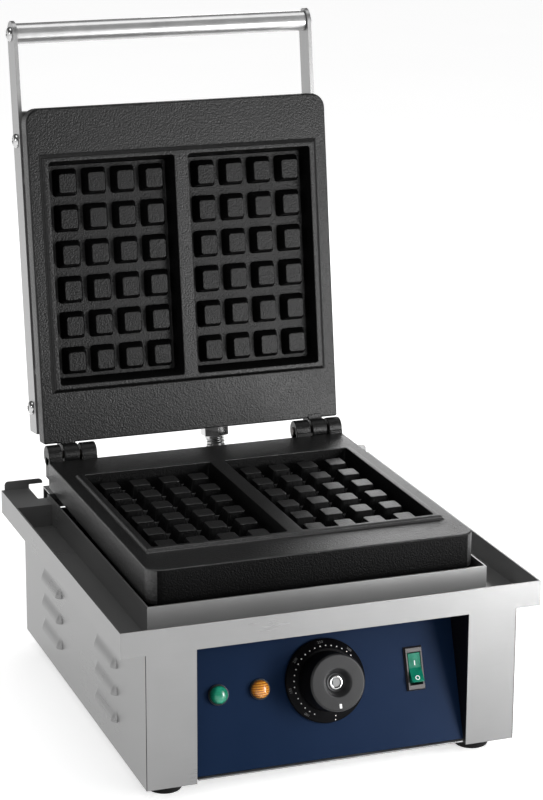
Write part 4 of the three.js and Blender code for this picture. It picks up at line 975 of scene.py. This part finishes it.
def dial_and_knob():
    """The dial with its scale, and the knob with its index mark and metal ring."""
    dial = turned([(7, 0.3), (DIAL_RIM[0], 0.3), DIAL_RIM, DIAL_EDGE, (7, 7.8)], closed=True, steps=112)
    round_edges(dial, 0.7, 3, 25)
    keep(dial, "dial_cone", "dial_plate", DIAL_BLACK, DIAL)
    dots = bmesh.new()
    for index in range(DOT_COUNT):
        add_dot(dots, 0.46, cone_place(DOT_FIRST + index * DOT_STEP, DOT_RADIUS, 0.05))
    for radius in (24.6, 27.6):
        add_dot(dots, 0.5, cone_place(172, radius, 0.05))
    keep(dots, "dial_dots", "dial_plate", WHITE_INK, replace=False)
    numbers = bmesh.new()
    for turn, text in NUMBERS:
        add_mesh(numbers, figures(text, 2.7, 0.06), cone_place(turn, 26.9, 0.03))
    keep(numbers, "dial_numbers", "dial_plate", DIM_INK, replace=False)
    knob = turned([
        (4.9, 8.1), (21, 8.1), (20.7, 11.5), (19.9, 26.4), (18.9, 27.6), (9.9, 27.6), (8.7, 26.2),
        (7.3, 23.6), (6.2, 22.3), (4.9, 22.2),
    ], closed=True, steps=120)
    round_edges(knob, 0.5, 3, 24)
    # The side is a deeper black than the face
    for face in knob.faces:
        at = face.calc_center_median()
        face.material_index = int(math.hypot(at.x, at.y) > 15 and at.z < 26.2)
    knob = keep(knob, "control_knob", "knob", KNOB_GREY, DIAL)
    knob.data.materials.append(DIAL_BLACK)
    bar = bmesh.new()
    add_block(bar, (-0.95, 0.95), (-17.6, -14.4), (26.6, 27.95))
    round_edges(bar, 0.45, 3)
    keep(bar, "knob_index", "knob", WHITE_INK, DIAL, replace=False)
    insert = turned([(3.3, 8.1), (4.7, 8.1), (4.7, 23.0), (3.3, 23.0)], closed=True, steps=64)
    round_edges(insert, 0.25, 2)
    keep(insert, "knob_ring", "knob_insert", CHROME, DIAL)


# Pilot lamps: the dome of a lens, its straight foot and its rise
LENS_RADIUS, LENS_BASE, LENS_HEIGHT = 6.2, 2.3, 5


def lamps():
    """The two pilot lamps: a ring with a domed lens in it."""
    for name, x in LAMP_X.items():
        at = PANEL @ Matrix.Translation((x, CONTROL_LINE, 0))
        ring = turned([
            (0, -22), (5, -22), (5, 0.3), (7.3, 0.3), (7.1, 1.6), (6.4, 1.6), (6.4, 0.8), (0, 0.8),
        ], steps=64)
        round_edges(ring, 0.25, 2)
        keep(ring, f"{name}_lamp_ring", f"{name}_lamp_holder", LAMP_BLACK, at)
        dome = [(0, 1.1), (LENS_RADIUS, 1.1), (LENS_RADIUS, LENS_BASE)]
        for step in range(1, 10):
            turn = step / 10 * math.pi / 2
            dome.append((LENS_RADIUS * math.cos(turn), LENS_BASE + LENS_HEIGHT * math.sin(turn)))
        dome.append((0, LENS_BASE + LENS_HEIGHT))
        lens = turned(dome, steps=64)
        finish = GREEN_LENS if name == "green" else AMBER_LENS
        keep(lens, f"{name}_lamp_dome", f"{name}_lamp_lens", finish, at)


# Switch: the rocker's tilt at rest, its face's height and slope, and the marks' lower and upper face
ROCKER_TILT = math.radians(-12)
ROCKER_MIDDLE, ROCKER_RISE = 2.4, 2.2 / 10.2
MARK = (-0.08, 0.12)


def rocker_place(y):
    """A place on the rocker's face, which rises from its middle to both ends."""
    way = math.copysign(math.atan(ROCKER_RISE), y)
    spot = Matrix.Translation((0, y, ROCKER_MIDDLE + abs(y) * ROCKER_RISE))
    return SWITCH @ Matrix.Rotation(ROCKER_TILT, 4, "X") @ spot @ Matrix.Rotation(way, 4, "X")


def switch():
    """The switch's housing and rocker, with the rocker's two marks."""
    softened("power_switch", "switch_housing", BEZEL, 0.35, 3)
    softened("switch_rocker", "switch_rocker_cap", ROCKER_GREEN, 0.35, 3)
    marks = bmesh.new()
    stroke = bmesh.new()
    add_block(stroke, (-0.3, 0.3), (-1.7, 1.7), MARK)
    round_edges(stroke, 0.08, 1)
    add_mesh(marks, stroke, rocker_place(3.4))
    ring = turned([
        (1.15, MARK[0]), (1.65, MARK[0]), (1.65, MARK[1]), (1.15, MARK[1]),
    ], closed=True, steps=40)
    add_mesh(marks, ring, rocker_place(-7.3))
    keep(marks, "rocker_marks", "switch_rocker", WHITE_INK, replace=False)


# Glands and hose at the back
HOSE_X = 27
HOSE_POINTS = [
    (135.28, 63), (150.08, 63), (181.55, 70.49), (196.54, 91.48), (183.80, 113.96),
    (141.17, 137.94), (143.23, 152.59),
]
HOSE_RADIUS, HOSE_BORE, HOSE_RIB, RIB_DEPTH = 7.4, 5.4, 2.3, 0.75
HOSE_SIDES, STEPS_PER_RIB, STEPS_PER_SPAN = 28, 6, 80


def hose_line():
    """The hose's centreline as places a sixth of a rib apart, each with its direction, and its length."""
    points = [Vector((HOSE_X, y, z)) for y, z in HOSE_POINTS]
    points = [2 * points[0] - points[1], *points, 2 * points[-1] - points[-2]]
    dense = []
    for a, b, c, d in zip(points, points[1:], points[2:], points[3:]):
        before, span, after = ((q - p).length ** 0.5 for p, q in ((a, b), (b, c), (c, d)))
        leave = ((b - a) / before - (c - a) / (before + span) + (c - b) / span) * span
        arrive = ((c - b) / span - (d - b) / (span + after) + (d - c) / after) * span
        for step in range(STEPS_PER_SPAN):
            t = step / STEPS_PER_SPAN
            dense.append(
                b * (2 * t ** 3 - 3 * t ** 2 + 1) + leave * (t ** 3 - 2 * t ** 2 + t)
                + c * (3 * t ** 2 - 2 * t ** 3) + arrive * (t ** 3 - t ** 2)
            )
    dense.append(points[-2])
    lengths = [0]
    for p, q in zip(dense, dense[1:]):
        lengths.append(lengths[-1] + (q - p).length)
    count = round(lengths[-1] / (HOSE_RIB / STEPS_PER_RIB))
    line = []
    at = 0
    for step in range(count + 1):
        want = lengths[-1] * step / count
        while at < len(dense) - 2 and lengths[at + 1] < want:
            at += 1
        share = (want - lengths[at]) / (lengths[at + 1] - lengths[at])
        line.append((dense[at].lerp(dense[at + 1], share), (dense[at + 1] - dense[at]).normalized()))
    return line, lengths[-1]


def hose():
    """The ribbed metal hose from the body's nut to the lid's, with its bore."""
    line, length = hose_line()
    bm = bmesh.new()

    def ring(place, way, radius):
        """A ring of points about the centreline."""
        across = Vector((1, 0, 0))
        up = across.cross(way)
        made = []
        for k in range(HOSE_SIDES):
            turn = 2 * math.pi * k / HOSE_SIDES
            made.append(bm.verts.new(place + radius * (math.cos(turn) * across + math.sin(turn) * up)))
        return made

    rings = []
    for step, (place, way) in enumerate(line):
        along = length * step / (len(line) - 1)
        rib = 0.5 + 0.5 * math.cos(2 * math.pi * along / HOSE_RIB)
        rings.append(ring(place, way, HOSE_RADIUS - RIB_DEPTH * (1 - rib) ** 1.5))
    for place, way in reversed(line[::STEPS_PER_RIB] + line[-1:]):
        rings.append(ring(place, way, HOSE_BORE))
    for first, second in zip(rings, rings[1:] + rings[:1]):
        for k in range(HOSE_SIDES):
            n = (k + 1) % HOSE_SIDES
            bm.faces.new((first[k], first[n], second[n], second[k]))
    bmesh.ops.recalc_face_normals(bm, faces=bm.faces[:])
    piece = to_piece(bm, "ribbed_hose", HOSE_STEEL)
    path = [MM * place for place, way in line]
    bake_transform(piece)
    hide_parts("conduit_hose")
    length * MM
    path[::STEPS_PER_RIB] + path[-1:]


NUT_DROP = 6
CABLE_GLAND_AT = (-78.03, 117.15, 44)


def glands():
    """Both hose nuts, and the cable gland with its ribbed sleeve."""
    nut = softened("lid_hose_gland", "lid_gland_nut", CHROME, 0.45, 3, 40)
    # The nut's lower end is drawn down the lid, so that it shows under the lid's edge
    down = LID.to_3x3() @ Vector((0, 1, 0))
    for vert in nut.data.vertices:
        if (vert.co / MM - Vector((HOSE_X, *HOSE_POINTS[-1]))).dot(down) > -4:
            vert.co += down * NUT_DROP * MM
    softened("body_hose_gland", "body_gland_nut", CHROME, 0.45, 3, 40)
    gland = turned([
        (4.6, 0), (7.2, 0), (7.2, 6.5), (11, 6.5), (11, 11), (8.9, 11.4), (8.2, 14), (8.6, 14.6),
        (7.9, 17), (8.2, 17.6), (7.6, 20), (7.9, 20.6), (7.4, 25.3), (4.6, 25.3),
    ], closed=True, steps=64)
    round_edges(gland, 0.4, 2, 35)
    at = Matrix.Translation(CABLE_GLAND_AT) @ ALONG_Y
    keep(gland, "cable_gland_turned", "cable_gland", GLAND_BLACK, at)


# Light: the floor's glow, what the surroundings cast, and what is seen of them
FLOOR_GLOW, CAST_LIGHT, SEEN_LIGHT = 0.56, 0.5, 1.0


def pale_floor():
    """A plain floor. It also glows for the camera, in reflections and through the lenses, to look white."""
    bpy.ops.mesh.primitive_plane_add(size=10)
    floor = bpy.context.object
    floor.name = "floor"
    f = Finish("pale_floor")
    seen = f.ray("Camera").math("MAXIMUM", f.ray("Glossy")).math("MAXIMUM", f.ray("Transmission"))
    glow = f.node("ShaderNodeEmission", {}, {"Color": (1, 1, 1, 1), "Strength": FLOOR_GLOW})
    cloud = f.noise(3, 2, 0.5)
    f.feed(Base_Color=f.blend(cloud, grey(0.80), grey(0.84)), Roughness=0.9)
    plain = Socket(f, f.shader.outputs[0])
    both = f.node("ShaderNodeAddShader", {}, {0: plain, 1: glow})
    mixed = f.node("ShaderNodeMixShader", {}, {0: seen, 1: plain, 2: both})
    f.set_or_link(mixed, f.tree.nodes["Material Output"].inputs["Surface"])
    floor.data.materials.append(f.material)


# The room in reflections: a direction, then where along it the fade starts and ends, and its two levels
ROOM_FADES = (
    ((0, 0, 1), (0.06, 0.32, 1.0, 0.12)),
    ((0.6, 0.8, 0), (0.55, 0.85, 1.0, 0.25)),
)


def studio():
    """White surroundings, which shiny surfaces see as a white horizon with a darker room above it."""
    world = bpy.data.worlds.new("studio")
    scene.world = world
    world.use_nodes = True
    sky = Graph(world.node_tree)
    seen = sky.ray("Camera").math("MAXIMUM", sky.ray("Transmission"))
    level = sky.fade(seen, 0, 1, CAST_LIGHT, SEEN_LIGHT)
    around = sky.node("ShaderNodeTexCoord", output="Generated")
    upward, sideways = (sky.fade(sky.along(around, way), *levels) for way, levels in ROOM_FADES)
    shown = sky.node("ShaderNodeMix", {}, {0: sky.ray("Glossy"), 2: level, 3: upward * sideways})
    ground = sky.tree.nodes["Background"]
    sky.set_or_link((1, 1, 1, 1), ground.inputs["Color"])
    sky.set_or_link(shown, ground.inputs["Strength"])


def softbox(name, place, aim, size, energy):
    """A rectangular lamp turned towards a place."""
    data = bpy.data.lights.new(name, "AREA")
    data.shape = "RECTANGLE"
    data.size, data.size_y = size
    data.energy = energy
    lamp = bpy.data.objects.new(name, data)
    lamp.location = place
    lamp.rotation_euler = (Vector(place) - Vector(aim)).to_track_quat("Z", "Y").to_euler()
    scene.collection.objects.link(lamp)


set_camera()
hose()
cast_plates()
body_sheets()
feet()
screws()
lid_pieces()
dial_and_knob()
lamps()
switch()
glands()
recoat(
    HEATED, "lower_heating_element", "upper_heating_element", "lower_element_clamp",
    "upper_element_clamp", "thermostat_body", "thermostat_capillary",
)
# The rails and posts inside the body are black, a painted shade
recoat(
    PAINTED_SHADE_AND_SEAM, "front_rail", "rear_rail", "plate_post_front_left", "plate_post_front_right",
    "plate_post_rear_left", "plate_post_rear_right",
)
recoat(STEEL, "thermostat_shaft")
recoat(CERAMIC, "terminal_block")
pale_floor()
studio()
softbox("key", (1.4, -1.1, 1.0), (0, 0, 0.15), (0.9, 1.0), 8)
softbox("near", (0.43, -0.66, 0.2), (0.12, -0.19, 0.10), (0.22, 0.4), 4.8)
softbox("rim", (0.85, 1.5, 0.62), (0, -0.05, 0.14), (0.9, 0.6), 5.2)
softbox("left", (-1.5, -0.5, 0.9), (0, 0, 0.1), (0.5, 0.5), 3.4)
softbox("top", (0.0, 0.2, 1.9), (0, 0, 0.2), (1.6, 1.0), 8.4)
scene.view_settings.view_transform = "Standard"
